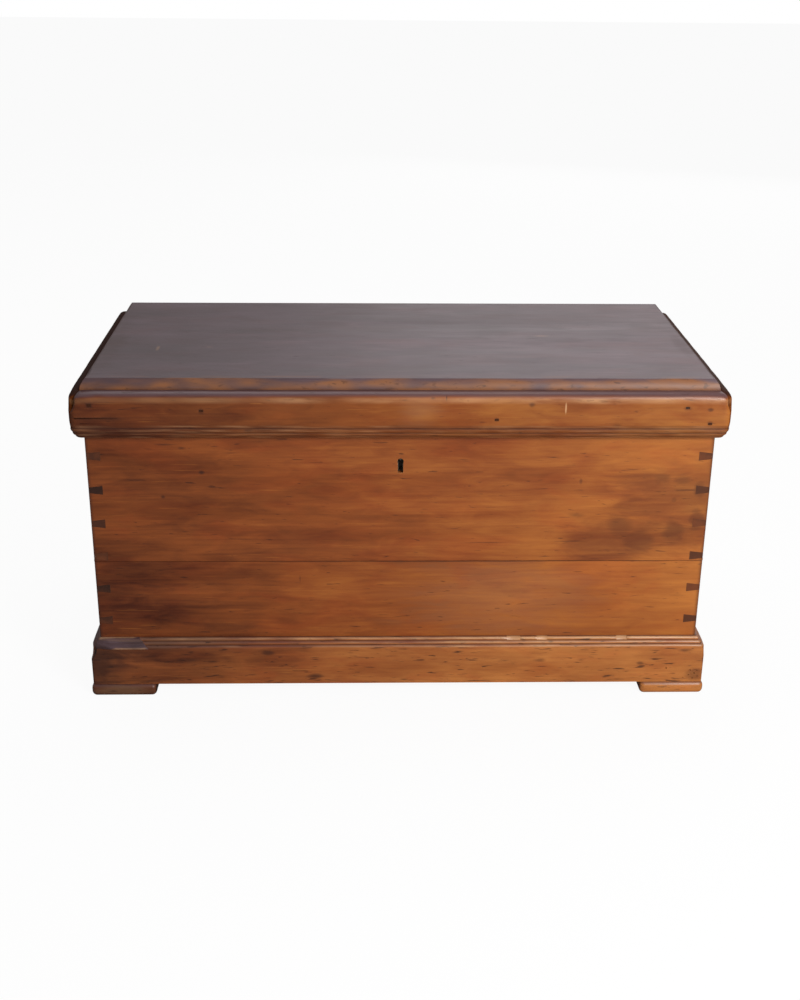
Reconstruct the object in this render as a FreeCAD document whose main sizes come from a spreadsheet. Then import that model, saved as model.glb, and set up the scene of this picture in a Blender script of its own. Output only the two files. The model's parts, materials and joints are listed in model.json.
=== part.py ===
import FreeCAD, Part
import math
import os
import Sketcher

# Blanket chest, in millimetres: +Z up, front towards -Y, floor at Z = 0,
# and the middle of the whole chest's plan at X = Y = 0.

SIZES = {
    # Carcass: a dovetailed box of boards
    "carcass_width": 975.0,
    "carcass_depth": 472.0,
    "carcass_height": 415.0,
    "wall": 22.0,
    "front_lower_width": 196.0,
    "back_lower_width": 228.0,
    "end_lower_width": 233.0,
    "pin_count": 7,
    "pin_top_offset": 39.6,
    "pin_bottom_offset": 35.3,
    "pin_outer_width": 9.0,
    "pin_inner_width": 14.5,
    # Bottom: tongued boards from front to back
    "bottom_thickness": 18.0,
    "bottom_count": 5,
    "tongue_thickness": 6.0,
    "tongue_reach": 6.0,
    "tongue_play": 0.5,
    # Plinth round three sides, and the feet below it
    "plinth_projection": 14.8,
    "plinth_height": 79.5,
    "plinth_moulding_height": 15.2,
    "repair_foot_reach": 79.5,
    "repair_head_reach": 63.5,
    "foot_height": 21.5,
    "foot_side": 106.0,
    "foot_proud": 3.0,
    "foot_round": 8.0,
    "foot_bulge": 2.4,
    # Lid: a shallow box with a moulded rim on three sides
    "lid_play": 1.0,
    "rail_height": 62.5,
    "rail_pin_outer_width": 12.0,
    "rail_pin_inner_width": 18.0,
    "lid_thickness": 22.0,
    "lid_front_width": 240.0,
    "ovolo_run": 8.0,
    "ovolo_rise": 16.3,
    "ovolo_bulge": 2.1,
    "rim_thickness": 18.0,
    "rim_height": 74.2,
    "rim_drop": 6.0,
    # Hinges, set into a bevelled joint that stops the lid just past upright
    "hinge_spread": 600.0,
    "hinge_length": 76.0,
    "hinge_set_in": 8.0,
    "bevel_rise_share": 1.235,
    "leaf_thickness": 2.2,
    "leaf_reach": 13.0,
    "leaf_gap": 0.2,
    "knuckle_count": 5,
    "knuckle_radius": 3.6,
    "knuckle_gap": 0.4,
    "hinge_pin_radius": 1.7,
    "hinge_pin_play": 0.05,
    "hinge_screw_spread": 26.0,
    "hinge_screw_reach": 8.6,
    # Lock, let into the inner face of the front
    "lock_offset": -1.3,
    "lock_backset": 48.3,
    "lock_plate_width": 90.0,
    "lock_plate_height": 76.0,
    "lock_plate_thickness": 2.0,
    "selvedge_width": 14.0,
    "case_width": 72.0,
    "case_height": 67.0,
    "case_depth": 9.5,
    "case_wall": 1.6,
    "cap_thickness": 1.5,
    "lock_play": 0.5,
    "keyhole_radius": 5.0,
    "keyhole_slot": 5.6,
    "keyhole_drop": 17.3,
    "drill_pin_radius": 1.6,
    "bolt_travel": 8.0,
    "bolt_thickness": 3.0,
    "bolt_set": 3.5,
    "bolt_height": 13.0,
    "bolt_top_drop": 20.0,
    "bolt_end_play": 0.9,
    "finger_height": 4.0,
    "finger_drop": 7.0,
    "finger_tip_gap": 0.75,
    "hook_width": 5.0,
    "talon_width": 9.0,
    "talon_depth": 4.0,
    "stud_radius": 1.8,
    "stud_collar_radius": 3.5,
    "stud_spread": 30.0,
    "running_gap": 0.3,
    "spring_thickness": 0.8,
    "spring_reach": 15.0,
    # Link plate under the lid's front rail, with two eyes for the bolt
    "link_length": 66.0,
    "link_width": 11.6,
    "link_thickness": 2.0,
    "eye_spread": 36.0,
    "eye_thickness": 2.5,
    "eye_width": 8.0,
    "eye_drop": 14.0,
    "eye_wall": 1.8,
    "eye_play": 1.3,
    "slot_play": 1.2,
    # Fasteners
    "screw_head_radius": 3.2,
    "screw_head_depth": 1.6,
    "screw_radius": 1.6,
    "screw_length": 14.0,
    "nail_thickness": 2.4,
    "nail_head_width": 5.0,
    "nail_head_depth": 1.2,
    "rim_nail_length": 34.0,
    "plinth_nail_length": 30.0,
    "bottom_nail_length": 40.0,
    "foot_nail_length": 35.0,
    # What a cutting solid reaches past the wood that it cuts
    "overrun": 30.0,
}

# Corners of a moulding's section, from its lower inner corner round by its face:
# out from the inner face, up from the lower edge, and how far the next edge swells.
RIM_OUTLINE_SHARES = (
    (0.00, 0.000, 0.00),
    (0.39, 0.000, 0.07),
    (0.64, 0.055, 0.07),
    (0.82, 0.135, 0.07),
    (0.94, 0.236, 0.015),
    (1.00, 0.400, 0.00),
    (1.00, 0.838, 0.20),
    (0.36, 1.000, 0.00),
    (0.00, 1.000, 0.00),
)
# The plinth's moulded top: out, up and swell as shares of its projection and height.
REED_SHARES = (
    (1.00, 0.00, 0.10),
    (0.70, 0.34, 0.10),
    (0.40, 0.67, 0.10),
    (0.10, 1.00, 0.00),
)
WORN_SHARES = (
    (1.00, 0.00, 0.26),
    (0.10, 1.00, 0.00),
)
# The nails that show in the front of the rim: across from the middle and up from the lower edge.
RIM_NAIL_SHARES = ((-0.970, 0.743), (-0.625, 0.627), (0.296, 0.437), (0.894, 0.699), (0.969, 0.352))
PLINTH_NAIL_SHARES = (-0.92, -0.55, -0.18, 0.18, 0.55, 0.92)
SIDE_NAIL_SHARES = (0.12, 0.5, 0.88)
RIM_NAIL_HEIGHT_SHARE = 0.6
PLINTH_NAIL_HEIGHT_SHARE = 0.5
BOTTOM_NAIL_SHARES = (0.25, 0.75)
FOOT_NAIL_SHARES = (0.36, 0.64)
# Studs across the lock from its middle, and screws down its plate
STUD_SHARES = (-0.75, 0.25)
LOCK_SCREW_SHARES = (0.2, 0.8)

doc = FreeCAD.newDocument("BlanketChest")
sheet = doc.addObject("Spreadsheet::Sheet", "Sizes")
for row, (alias, number) in enumerate(SIZES.items(), start=1):
    sheet.set(f"A{row}", alias)
    sheet.set(f"B{row}", str(number))
    sheet.setAlias(f"B{row}", alias)
doc.recompute()


class Size:
    """A length worked out from the sheet: its value now, and the expression that keeps it bound."""

    def __init__(self, value, text):
        self.value = float(value)
        self.text = text

    def __add__(self, other):
        other = as_size(other)
        return Size(self.value + other.value, f"({self.text} + {other.text})")

    def __sub__(self, other):
        other = as_size(other)
        return Size(self.value - other.value, f"({self.text} - {other.text})")

    def __mul__(self, other):
        other = as_size(other)
        return Size(self.value * other.value, f"{self.text} * {other.text}")

    def __truediv__(self, other):
        other = as_size(other)
        return Size(self.value / other.value, f"{self.text} / ({other.text})")

    def __neg__(self):
        return Size(-self.value, f"(0 - {self.text})")

    __radd__ = __add__
    __rmul__ = __mul__


def as_size(thing):
    if isinstance(thing, Size):
        return thing
    return Size(thing, f"{thing:.9g}" if thing >= 0 else f"(0 - {-thing:.9g})")


class Sheet:
    """The sheet's cells, by name."""

    def __getattr__(self, alias):
        return Size(SIZES[alias], f"Sizes.{alias}")


s = Sheet()
ZERO = as_size(0)
nodes = {}


def node(label, thing):
    """Names a finished sub-part."""
    thing.Label = label
    nodes[label] = thing
    return thing


# Solids and booleans

def bind(thing, **sizes):
    for name, size in sizes.items():
        thing.setExpression(name.replace("__", "."), as_size(size).text)
    return thing


def place(thing, x, y, z):
    return bind(thing, Placement__Base__x=x, Placement__Base__y=y, Placement__Base__z=z)


def box(x, y, z):
    """A block between the two ends of its stretch along each axis."""
    block = doc.addObject("Part::Box", "Block")
    bind(block, Length=x[1] - x[0], Width=y[1] - y[0], Height=z[1] - z[0])
    return place(block, x[0], y[0], z[0])


TURNS = {
    "+X": ((0, 1, 0), 90),
    "+Y": ((1, 0, 0), -90),
    "-Y": ((1, 0, 0), 90),
    "+Z": ((0, 0, 1), 0),
    "-Z": ((1, 0, 0), 180),
}


def point_along(thing, way, start):
    """Sets a round solid's axis along a way, from its start."""
    axis, angle = TURNS[way]
    thing.Placement = FreeCAD.Placement(FreeCAD.Vector(), FreeCAD.Rotation(FreeCAD.Vector(*axis), angle))
    return place(thing, *start)


def rod(way, start, length, radius):
    cylinder = bind(doc.addObject("Part::Cylinder", "Rod"), Radius=radius, Height=length)
    return point_along(cylinder, way, start)


def cut(base, *tools):
    result = doc.addObject("Part::Cut", "Cut")
    result.Base = base
    result.Tool = tools[0] if len(tools) == 1 else group(*tools)
    return result


def common(base, tool):
    result = doc.addObject("Part::Common", "Common")
    result.Base = base
    result.Tool = tool
    return result


def fuse(*things):
    result = doc.addObject("Part::MultiFuse", "Fuse")
    result.Shapes = list(things)
    result.Refine = True
    return result


def group(*things):
    result = doc.addObject("Part::Compound", "Group")
    result.Links = list(things)
    return result


# Sketches and bodies

# The ends of a sketched edge, by their numbers in a constraint
EDGE_START = 1
EDGE_END = 2


def draw(sketch, corners):
    """Draws one closed outline of (across, up, swell) corners: an edge with a swell is an arc.

    The corners run anticlockwise, so that a swell stands out of the outline.
    """
    count = len(corners)
    first = sketch.GeometryCount
    for index, (u, v, swell) in enumerate(corners):
        next_u, next_v, _ = corners[(index + 1) % count]
        a = FreeCAD.Vector(u.value, v.value, 0)
        b = FreeCAD.Vector(next_u.value, next_v.value, 0)
        if swell.value == 0:
            sketch.addGeometry(Part.LineSegment(a, b), False)
            continue
        radius = arc_radius(next_u - u, next_v - v, swell)
        chord = b - a
        out = FreeCAD.Vector(chord.y, -chord.x, 0).normalize()
        centre = (a + b) * 0.5 - out * (radius.value - swell.value)
        circle = Part.Circle(centre, FreeCAD.Vector(0, 0, 1), radius.value)
        angles = [math.atan2(p.y - centre.y, p.x - centre.x) for p in (a, b)]
        sketch.addGeometry(Part.ArcOfCircle(circle, angles[0], angles[1]), False)
        index_of = sketch.addConstraint(Sketcher.Constraint("Radius", first + index, radius.value))
        sketch.setExpression(f"Constraints[{index_of}]", radius.text)
    for index, (u, v, _) in enumerate(corners):
        before = (index - 1) % count
        here = first + index
        sketch.addConstraint(
            Sketcher.Constraint("Coincident", first + before, EDGE_END, here, EDGE_START))
        for kind, size in (("DistanceX", u), ("DistanceY", v)):
            if size is ZERO:
                axis = -2 if kind == "DistanceX" else -1
                sketch.addConstraint(Sketcher.Constraint("PointOnObject", here, EDGE_START, axis))
                continue
            index_of = sketch.addConstraint(
                Sketcher.Constraint(kind, -1, 1, here, EDGE_START, size.value))
            sketch.setExpression(f"Constraints[{index_of}]", size.text)


def arc_radius(across, up, swell):
    """The radius of the arc that stands out by a swell from a chord."""
    return (across * across + up * up) / (8 * swell) + swell / 2


def straight(*corners):
    """Corners joined by straight edges."""
    return [(as_size(u), as_size(v), ZERO) for u, v in corners]


PLANES = {"X": "YZ_Plane", "Y": "XZ_Plane", "Z": "XY_Plane"}


def new_body(name):
    return doc.addObject("PartDesign::Body", name)


def new_sketch(body, axis, outlines):
    sketch = body.newObject("Sketcher::SketchObject", "Outline")
    plane = next(f for f in body.Origin.OriginFeatures if f.Role == PLANES[axis])
    sketch.AttachmentSupport = [(plane, "")]
    sketch.MapMode = "FlatFace"
    for corners in outlines:
        draw(sketch, corners)
    return sketch


def pad(body, sketch, length, both_ways=False):
    feature = body.newObject("PartDesign::Pad", "Pad")
    feature.Profile = sketch
    bind(feature, Length=length)
    feature.Midplane = both_ways
    body.Tip = feature
    return feature


def prism(axis, stretch, corners):
    """A body of one section along an axis, between the two ends of a stretch."""
    body = new_body("Section")
    pad(body, new_sketch(body, axis, [corners]), stretch[1] - stretch[0])
    if axis == "X":
        return place(body, stretch[0], ZERO, ZERO)
    if axis == "Y":
        return place(body, ZERO, stretch[1], ZERO)
    return place(body, ZERO, ZERO, stretch[0])


# Planes that the pieces share

rim_projection = s.lid_play + s.rim_thickness
half_width = s.carcass_width / 2
front = rim_projection / 2 - s.carcass_depth / 2
back = rim_projection / 2 + s.carcass_depth / 2
inner_front = front + s.wall
inner_back = back - s.wall

bottom_z = s.foot_height
carcass_z = bottom_z + s.bottom_thickness
joint_z = carcass_z + s.carcass_height
lid_board_z = joint_z + s.rail_height
top_z = lid_board_z + s.lid_thickness

lid_half = half_width + s.lid_play
lid_front = front - s.lid_play
rim_z = joint_z - s.rim_drop
rim_top_z = rim_z + s.rim_height

hinge_y = back - s.hinge_set_in
plinth_half = half_width + s.plinth_projection
plinth_front = front - s.plinth_projection
plinth_top = bottom_z + s.plinth_height


# Dovetailed corners

def pin_panel(name, side, outer, low, high, ends, top_offset, bottom_offset, count, widths):
    """An end with its dovetail pins: side is -1 at the left and 1 at the right.

    The pins run the whole depth, so that they stand out at both ends of the panel.
    """
    body = new_body(name)
    inner = outer - s.wall
    x_outer, x_inner = side * outer, side * inner
    outer_half, inner_half = widths[0] / 2, widths[1] / 2
    depth = ends[1] - ends[0]

    core = straight((x_outer, low), (x_outer, high), (x_inner, high), (x_inner, low))
    pad(body, new_sketch(body, "Y", [core]), depth - 2 * s.wall, both_ways=True)

    pin_z = high - top_offset
    pin = straight(
        (x_outer, pin_z - outer_half),
        (x_outer, pin_z + outer_half),
        (x_inner, pin_z + inner_half),
        (x_inner, pin_z - inner_half))
    pin_sketch = new_sketch(body, "Y", [pin])
    pin_pad = pad(body, pin_sketch, depth, both_ways=True)
    if count.value > 1:
        row = body.newObject("PartDesign::LinearPattern", "PinRow")
        row.Originals = [pin_pad]
        row.Direction = (pin_sketch, ["V_Axis"])
        row.Reversed = True
        bind(row, Length=high - low - top_offset - bottom_offset, Occurrences=count)
        body.Tip = row

    upper_half = straight(
        (x_outer, high - outer_half), (x_outer, high), (x_inner, high), (x_inner, high - inner_half))
    lower_half = straight(
        (x_outer, low), (x_outer, low + outer_half), (x_inner, low + inner_half), (x_inner, low))
    pad(body, new_sketch(body, "Y", [upper_half, lower_half]), depth, both_ways=True)
    return place(body, ZERO, (ends[0] + ends[1]) / 2, ZERO)


ends_of_carcass = [
    pin_panel(
        f"{word}_end", side, half_width, carcass_z, joint_z, (front, back),
        s.pin_top_offset, s.pin_bottom_offset, s.pin_count, (s.pin_outer_width, s.pin_inner_width))
    for word, side in (("left", -1), ("right", 1))
]
ends_of_lid = [
    pin_panel(
        f"lid_{word}_end", side, lid_half, joint_z, lid_board_z, (lid_front, back),
        s.rail_height / 2, s.rail_height / 2, as_size(1), (s.rail_pin_outer_width, s.rail_pin_inner_width))
    for word, side in (("left", -1), ("right", 1))
]


# The bevelled back joint: two bevels meet on the hinge line and close when the lid is open

def bevel(side):
    """The wedge taken off below the joint (side -1) or above it (side 1)."""
    far = back + s.overrun
    fall = (far - hinge_y) * s.bevel_rise_share
    reach = lid_half + s.overrun
    corners = straight(
        (hinge_y, joint_z),
        (hinge_y, joint_z - side * s.overrun),
        (far, joint_z - side * s.overrun),
        (far, joint_z + side * fall))
    return prism("X", (-reach, reach), corners)


lower_bevel = bevel(-1)
upper_bevel = bevel(1)


# Nails and screws

def nail(way, x, y, z, length):
    """A cut nail with its head flush at the point given: way is the way that it was driven."""
    half = s.nail_thickness / 2
    wide = s.nail_head_width / 2
    parts = []
    for depth, across in ((length, half), (s.nail_head_depth, wide)):
        flat = {
            "+Y": ((x - across, x + across), (y, y + depth), (z - half, z + half)),
            "+X": ((x, x + depth), (y - across, y + across), (z - half, z + half)),
            "-X": ((x - depth, x), (y - across, y + across), (z - half, z + half)),
            "+Z": ((x - across, x + across), (y - half, y + half), (z, z + depth)),
        }
        parts.append(box(*flat[way]))
    return fuse(*parts)


def screw(way, start, length):
    """A countersunk screw with its head flush at its start."""
    head = doc.addObject("Part::Cone", "Head")
    bind(head, Radius1=s.screw_head_radius, Radius2=s.screw_radius, Height=s.screw_head_depth)
    point_along(head, way, start)
    return fuse(head, rod(way, start, length, s.screw_radius))


def sides_nails(out, z, length):
    """Nails driven into the left and right sides, spread from front to back."""
    row = []
    for share in SIDE_NAIL_SHARES:
        y = front + s.carcass_depth * share
        row.append(nail("+X", -out, y, z, length))
        row.append(nail("-X", out, y, z, length))
    return row


rim_nail_z = rim_z + s.rim_height * RIM_NAIL_HEIGHT_SHARE
rim_half = lid_half + s.rim_thickness
rim_front = lid_front - s.rim_thickness
rim_nails = group(
    *[nail("+Y", half_width * across, rim_front, rim_z + s.rim_height * up, s.rim_nail_length)
      for across, up in RIM_NAIL_SHARES],
    *sides_nails(rim_half, rim_nail_z, s.rim_nail_length))
node("rim_nails", rim_nails)

plinth_nail_z = bottom_z + s.plinth_height * PLINTH_NAIL_HEIGHT_SHARE
plinth_nails = group(
    *[nail("+Y", half_width * share, plinth_front, plinth_nail_z, s.plinth_nail_length)
      for share in PLINTH_NAIL_SHARES],
    *sides_nails(plinth_half, plinth_nail_z, s.plinth_nail_length))
node("plinth_nails", plinth_nails)

bottom_width = s.carcass_width / s.bottom_count
bottom_nails = group(*[
    nail("+Z", bottom_width * (index + share) - half_width, y, bottom_z, s.bottom_nail_length)
    for index in range(int(SIZES["bottom_count"]))
    for share in BOTTOM_NAIL_SHARES
    for y in (front + s.wall / 2, back - s.wall / 2)
])
node("bottom_nails", bottom_nails)


# Bottom boards

def bottom_board(index):
    """One board of the bottom: a tongue at its right edge and a groove at its left, but not at the ends."""
    left = bottom_width * index - half_width
    right = bottom_width * (index + 1) - half_width
    tongue_low = bottom_z + (s.bottom_thickness - s.tongue_thickness) / 2
    tongue_high = tongue_low + s.tongue_thickness
    board = box((left, right), (front, back), (bottom_z, carcass_z))
    if index < SIZES["bottom_count"] - 1:
        tongue = box((right, right + s.tongue_reach), (front, back), (tongue_low, tongue_high))
        board = fuse(board, tongue)
    if index > 0:
        groove = box(
            (left, left + s.tongue_reach + s.tongue_play), (front, back), (tongue_low, tongue_high))
        board = cut(board, groove)
    return board


# Feet

def foot(side, y, rounded_front):
    """A corner pad, rounded over at its outer edges: y is its stretch from front to back."""
    outer = plinth_half + s.foot_proud
    inner = outer - s.foot_side
    turn, flat, roll = s.foot_round, s.foot_height, s.foot_bulge

    def nose(edge, heel):
        """The section of a pad whose front edge is rounded above and below."""
        return [
            (edge + turn, ZERO, ZERO),
            (heel, ZERO, ZERO),
            (heel, flat, ZERO),
            (edge + turn, flat, roll),
            (edge, flat - turn, ZERO),
            (edge, turn, roll),
        ]

    low, high = (-outer, -inner) if side < 0 else (inner, outer)
    pad_along = prism("Y", y, [
        (low + turn, ZERO, ZERO),
        (high - turn, ZERO, roll),
        (high, turn, ZERO),
        (high, flat - turn, roll),
        (high - turn, flat, ZERO),
        (low + turn, flat, roll),
        (low, flat - turn, ZERO),
        (low, turn, roll),
    ])
    if not rounded_front:
        return pad_along
    return common(pad_along, prism("X", (low, high), nose(y[0], y[1])))


def turned(corners):
    """The same outline drawn the other way round, with each swell on its own edge."""
    count = len(corners)
    points = [(u, v) for u, v, _ in corners]
    swells = [swell for _, _, swell in corners]
    order = range(count - 1, -1, -1)
    return [(*points[index], swells[(index - 1) % count]) for index in order]


foot_front = plinth_front - s.foot_proud
foot_stretches = {"front": (foot_front, foot_front + s.foot_side), "back": (back - s.foot_side, back)}
foot_nail_list = []
foot_blanks = {}
for depth_word, stretch in foot_stretches.items():
    for word, side in (("left", -1), ("right", 1)):
        foot_blanks[f"{depth_word}_{word}_foot"] = foot(side, stretch, depth_word == "front")
        for share in FOOT_NAIL_SHARES:
            x = side * (plinth_half + s.foot_proud - s.foot_side * share)
            y = stretch[0] + s.foot_side * share
            foot_nail_list.append(nail("+Z", x, y, ZERO, s.foot_nail_length))
foot_nails = node("foot_nails", group(*foot_nail_list))
for label, blank in foot_blanks.items():
    node(label, cut(blank, foot_nails))
for index in range(int(SIZES["bottom_count"])):
    node(f"bottom_board_{index + 1}", cut(bottom_board(index), bottom_nails, foot_nails))


# Mouldings

def section(corners, plane, sign):
    """A moulding's section (out, up, swell) set against a plane and facing the way of sign."""
    placed = [(plane + sign * out, up, swell) for out, up, swell in corners]
    return placed if sign > 0 else turned(placed)


def mitred(corners, projection, front_plane, side_plane, z):
    """Front, left and right lengths of a moulding round three sides, mitred at the front corners."""
    past = projection + s.overrun
    outer, face = side_plane + past, front_plane - past
    inner, behind = side_plane - s.overrun, front_plane + s.overrun
    tall = (z[0] - s.overrun, z[1] + s.overrun)
    lengths = {}
    front_plan = straight((-outer, face), (outer, face), (inner, behind), (-inner, behind))
    lengths["front"] = common(
        prism("X", (-outer, outer), section(corners, front_plane, -1)), prism("Z", tall, front_plan))
    for word, sign in (("left", -1), ("right", 1)):
        side_plan = straight(
            (sign * outer, face), (sign * outer, back), (sign * inner, back), (sign * inner, behind))
        lengths[word] = common(
            prism("Y", (face, back + s.overrun), section(corners, sign * side_plane, sign)),
            prism("Z", tall, side_plan))
    return lengths


rim_section = [
    (s.rim_thickness * out, rim_z + s.rim_height * up, s.rim_thickness * swell if swell else ZERO)
    for out, up, swell in RIM_OUTLINE_SHARES
]
for word, length in mitred(rim_section, s.rim_thickness, lid_front, lid_half, (rim_z, rim_top_z)).items():
    node(f"rim_{word}", cut(length, rim_nails))


def plinth_section(shares):
    low = plinth_top - s.plinth_moulding_height
    crown = [
        (s.plinth_projection * out, low + s.plinth_moulding_height * up,
         s.plinth_projection * swell if swell else ZERO)
        for out, up, swell in shares
    ]
    return [(ZERO, bottom_z, ZERO), (s.plinth_projection, bottom_z, ZERO), *crown, (ZERO, plinth_top, ZERO)]


plinth = mitred(
    plinth_section(REED_SHARES), s.plinth_projection, front, half_width, (bottom_z, plinth_top))
worn = mitred(
    plinth_section(WORN_SHARES), s.plinth_projection, front, half_width, (bottom_z, plinth_top))["front"]
# The worn length of moulding at the front left corner, let in with a slanting joint
scarf_low = plinth_top - s.plinth_moulding_height
scarf = prism("Y", (plinth_front - s.overrun, front + s.overrun), straight(
    (-plinth_half - s.overrun, scarf_low),
    (s.repair_foot_reach - half_width, scarf_low),
    (s.repair_head_reach - half_width, plinth_top),
    (s.repair_head_reach - half_width, plinth_top + s.overrun),
    (-plinth_half - s.overrun, plinth_top + s.overrun)))
node("plinth_repair_piece", common(worn, scarf))
node("plinth_front", cut(plinth["front"], scarf, plinth_nails))
node("plinth_left", cut(plinth["left"], plinth_nails))
node("plinth_right", cut(plinth["right"], plinth_nails))


# Hinges: five knuckles, odd ones on the carcass leaf and even ones on the lid leaf

knuckle_length = s.hinge_length / s.knuckle_count
knuckle_cut = s.knuckle_radius + s.knuckle_gap
leaf_front = hinge_y - s.leaf_reach
screw_y = hinge_y - s.hinge_screw_reach


def hinge_leaf(centre, side, first, screws):
    """A leaf below the joint (side -1) or above it (side 1), with every second knuckle from first."""
    start = centre - s.hinge_length / 2
    near = joint_z + side * s.leaf_gap / 2
    far = joint_z + side * s.leaf_thickness
    z = (far, near) if side < 0 else (near, far)
    parts = [box((start, start + s.hinge_length), (leaf_front, hinge_y - knuckle_cut), z)]
    for index in range(first, int(SIZES["knuckle_count"]), 2):
        low = start + knuckle_length * index + s.leaf_gap / 2
        stretch = (low, low + knuckle_length - s.leaf_gap)
        parts.append(box(stretch, (hinge_y - knuckle_cut, hinge_y), z))
        parts.append(rod("+X", (low, hinge_y, joint_z), knuckle_length - s.leaf_gap, s.knuckle_radius))
    bore = rod(
        "+X", (start - s.overrun, hinge_y, joint_z), s.hinge_length + 2 * s.overrun,
        s.hinge_pin_radius + s.hinge_pin_play)
    return cut(fuse(*parts), bore, screws)


def hinge_recess(centre, side):
    """What a hinge takes out of the wood below or above the joint: its leaf, and its knuckles' room."""
    start, end = centre - s.hinge_length / 2, centre + s.hinge_length / 2
    z = (joint_z - s.leaf_thickness, joint_z) if side < 0 else (joint_z, joint_z + s.leaf_thickness)
    room = rod("+X", (start, hinge_y, joint_z), s.hinge_length, knuckle_cut)
    return group(box((start, end), (leaf_front, hinge_y), z), room)


hinge_places = {"left": -s.hinge_spread / 2, "right": s.hinge_spread / 2}
hinge_screws = {}
for label, way, side in (("hinge_lower_screws", "-Z", -1), ("hinge_upper_screws", "+Z", 1)):
    hinge_screws[side] = node(label, group(*[
        screw(way, (centre + s.hinge_screw_spread * step, screw_y, joint_z + side * s.leaf_gap / 2),
              s.screw_length)
        for centre in hinge_places.values()
        for step in (-1, 0, 1)
    ]))
for word, centre in hinge_places.items():
    node(f"hinge_{word}_lower_leaf", hinge_leaf(centre, -1, 0, hinge_screws[-1]))
    node(f"hinge_{word}_upper_leaf", hinge_leaf(centre, 1, 1, hinge_screws[1]))
    node(f"hinge_{word}_pin", rod(
        "+X", (centre - s.hinge_length / 2, hinge_y, joint_z), s.hinge_length, s.hinge_pin_radius))
lower_recesses = group(*[hinge_recess(centre, -1) for centre in hinge_places.values()])
upper_recesses = group(*[hinge_recess(centre, 1) for centre in hinge_places.values()])


# Lock: a plate let in flush with the inner face, its case towards the front

plate_face = inner_front - s.lock_plate_thickness
case_front = plate_face - s.case_depth
cap_front = case_front - s.cap_thickness
key_z = joint_z - s.lock_backset
plate_half = s.lock_plate_width / 2
case_half = s.case_width / 2
case_z = (joint_z - s.case_height, joint_z - s.lock_plate_thickness)
plate_x = (s.lock_offset - plate_half, s.lock_offset + plate_half)
case_x = (s.lock_offset - case_half, s.lock_offset + case_half)
plate_z = (joint_z - s.lock_plate_height, joint_z)
selvedge_y = (inner_front - s.selvedge_width, inner_front)
selvedge_z = (joint_z - s.lock_plate_thickness, joint_z)
eye_y = plate_face - s.bolt_set - s.bolt_thickness / 2
eye_places = (s.lock_offset - s.eye_spread / 2, s.lock_offset + s.eye_spread / 2)
stud_places = [s.lock_offset + s.stud_spread * share for share in STUD_SHARES]
stud_z = joint_z - s.bolt_top_drop - s.bolt_height / 2


def around(middle, half):
    return (middle - half, middle + half)


def keyhole(y):
    """A round hole over a slot, along a stretch from front to back."""
    hole = rod("+Y", (s.lock_offset, y[0], key_z), y[1] - y[0], s.keyhole_radius)
    slot = box(around(s.lock_offset, s.keyhole_slot / 2), y, (key_z - s.keyhole_drop, key_z))
    return fuse(hole, slot)


lock_screw_x = (plate_half + case_half) / 2
lock_screw_z = [joint_z - s.lock_plate_height * share for share in LOCK_SCREW_SHARES]
lock_screws = node("lock_screws", group(*[
    screw("-Y", (s.lock_offset + side * lock_screw_x, inner_front, z), s.screw_length)
    for side in (-1, 1)
    for z in lock_screw_z
]))


def lock_plate():
    """The back plate with its selvedge, the case's three walls and the two studs that carry the bolt."""
    wall_y = (case_front, plate_face)
    low = case_z[0]
    parts = [
        box(plate_x, (plate_face, inner_front), plate_z),
        box(plate_x, selvedge_y, selvedge_z),
        box((case_x[0], case_x[0] + s.case_wall), wall_y, case_z),
        box((case_x[1] - s.case_wall, case_x[1]), wall_y, case_z),
        box(case_x, wall_y, (low, low + s.case_wall)),
    ]
    for x in stud_places:
        parts.append(rod("-Y", (x, plate_face, stud_z), s.bolt_set - s.running_gap, s.stud_collar_radius))
        parts.append(rod("-Y", (x, plate_face, stud_z), s.case_depth, s.stud_radius))
    slots = [
        box(around(x, s.eye_thickness / 2 + s.slot_play), around(eye_y, s.eye_width / 2 + s.running_gap),
            (joint_z - s.lock_plate_thickness - s.running_gap, joint_z + s.running_gap))
        for x in eye_places
    ]
    return cut(fuse(*parts), lock_screws, *slots)


node("lock_plate", lock_plate())
node("lock_cap", cut(
    box(case_x, (cap_front, case_front), case_z), keyhole((cap_front - s.overrun, case_front + s.overrun))))
node("lock_drill_pin", rod("-Y", (s.lock_offset, plate_face, key_z), s.case_depth, s.drill_pin_radius))

bolt_top = joint_z - s.bolt_top_drop
bolt_low = bolt_top - s.bolt_height
finger_top = joint_z - s.finger_drop
finger_low = finger_top - s.finger_height
finger_length = s.bolt_travel + s.running_gap + s.finger_tip_gap
bolt_left = case_x[0] + s.case_wall + s.bolt_end_play
bolt_y = around(eye_y, s.bolt_thickness / 2)


def lock_bolt():
    """A bar with two hooked fingers, slots for its studs and a notch for the key."""
    tips = [x - s.eye_thickness / 2 - s.finger_tip_gap for x in eye_places]
    parts = [box((bolt_left, tips[1]), bolt_y, (bolt_low, bolt_top))]
    for tip in tips:
        root = tip - finger_length
        parts.append(box((root - s.hook_width, root), bolt_y, (bolt_top, finger_top)))
        parts.append(box((root, tip), bolt_y, (finger_low, finger_top)))
    half_slot = s.stud_radius + s.running_gap
    slots = []
    for x in stud_places:
        slots.append(box((x - s.bolt_travel, x), bolt_y, around(stud_z, half_slot)))
        slots.append(rod("+Y", (x - s.bolt_travel, bolt_y[0], stud_z), s.bolt_thickness, half_slot))
        slots.append(rod("+Y", (x, bolt_y[0], stud_z), s.bolt_thickness, half_slot))
    notch = box(
        around(s.lock_offset - s.bolt_travel / 2, s.talon_width / 2), bolt_y,
        (bolt_low, bolt_low + s.talon_depth))
    return cut(fuse(*parts), fuse(*slots), notch)


node("lock_bolt", lock_bolt())


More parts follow.
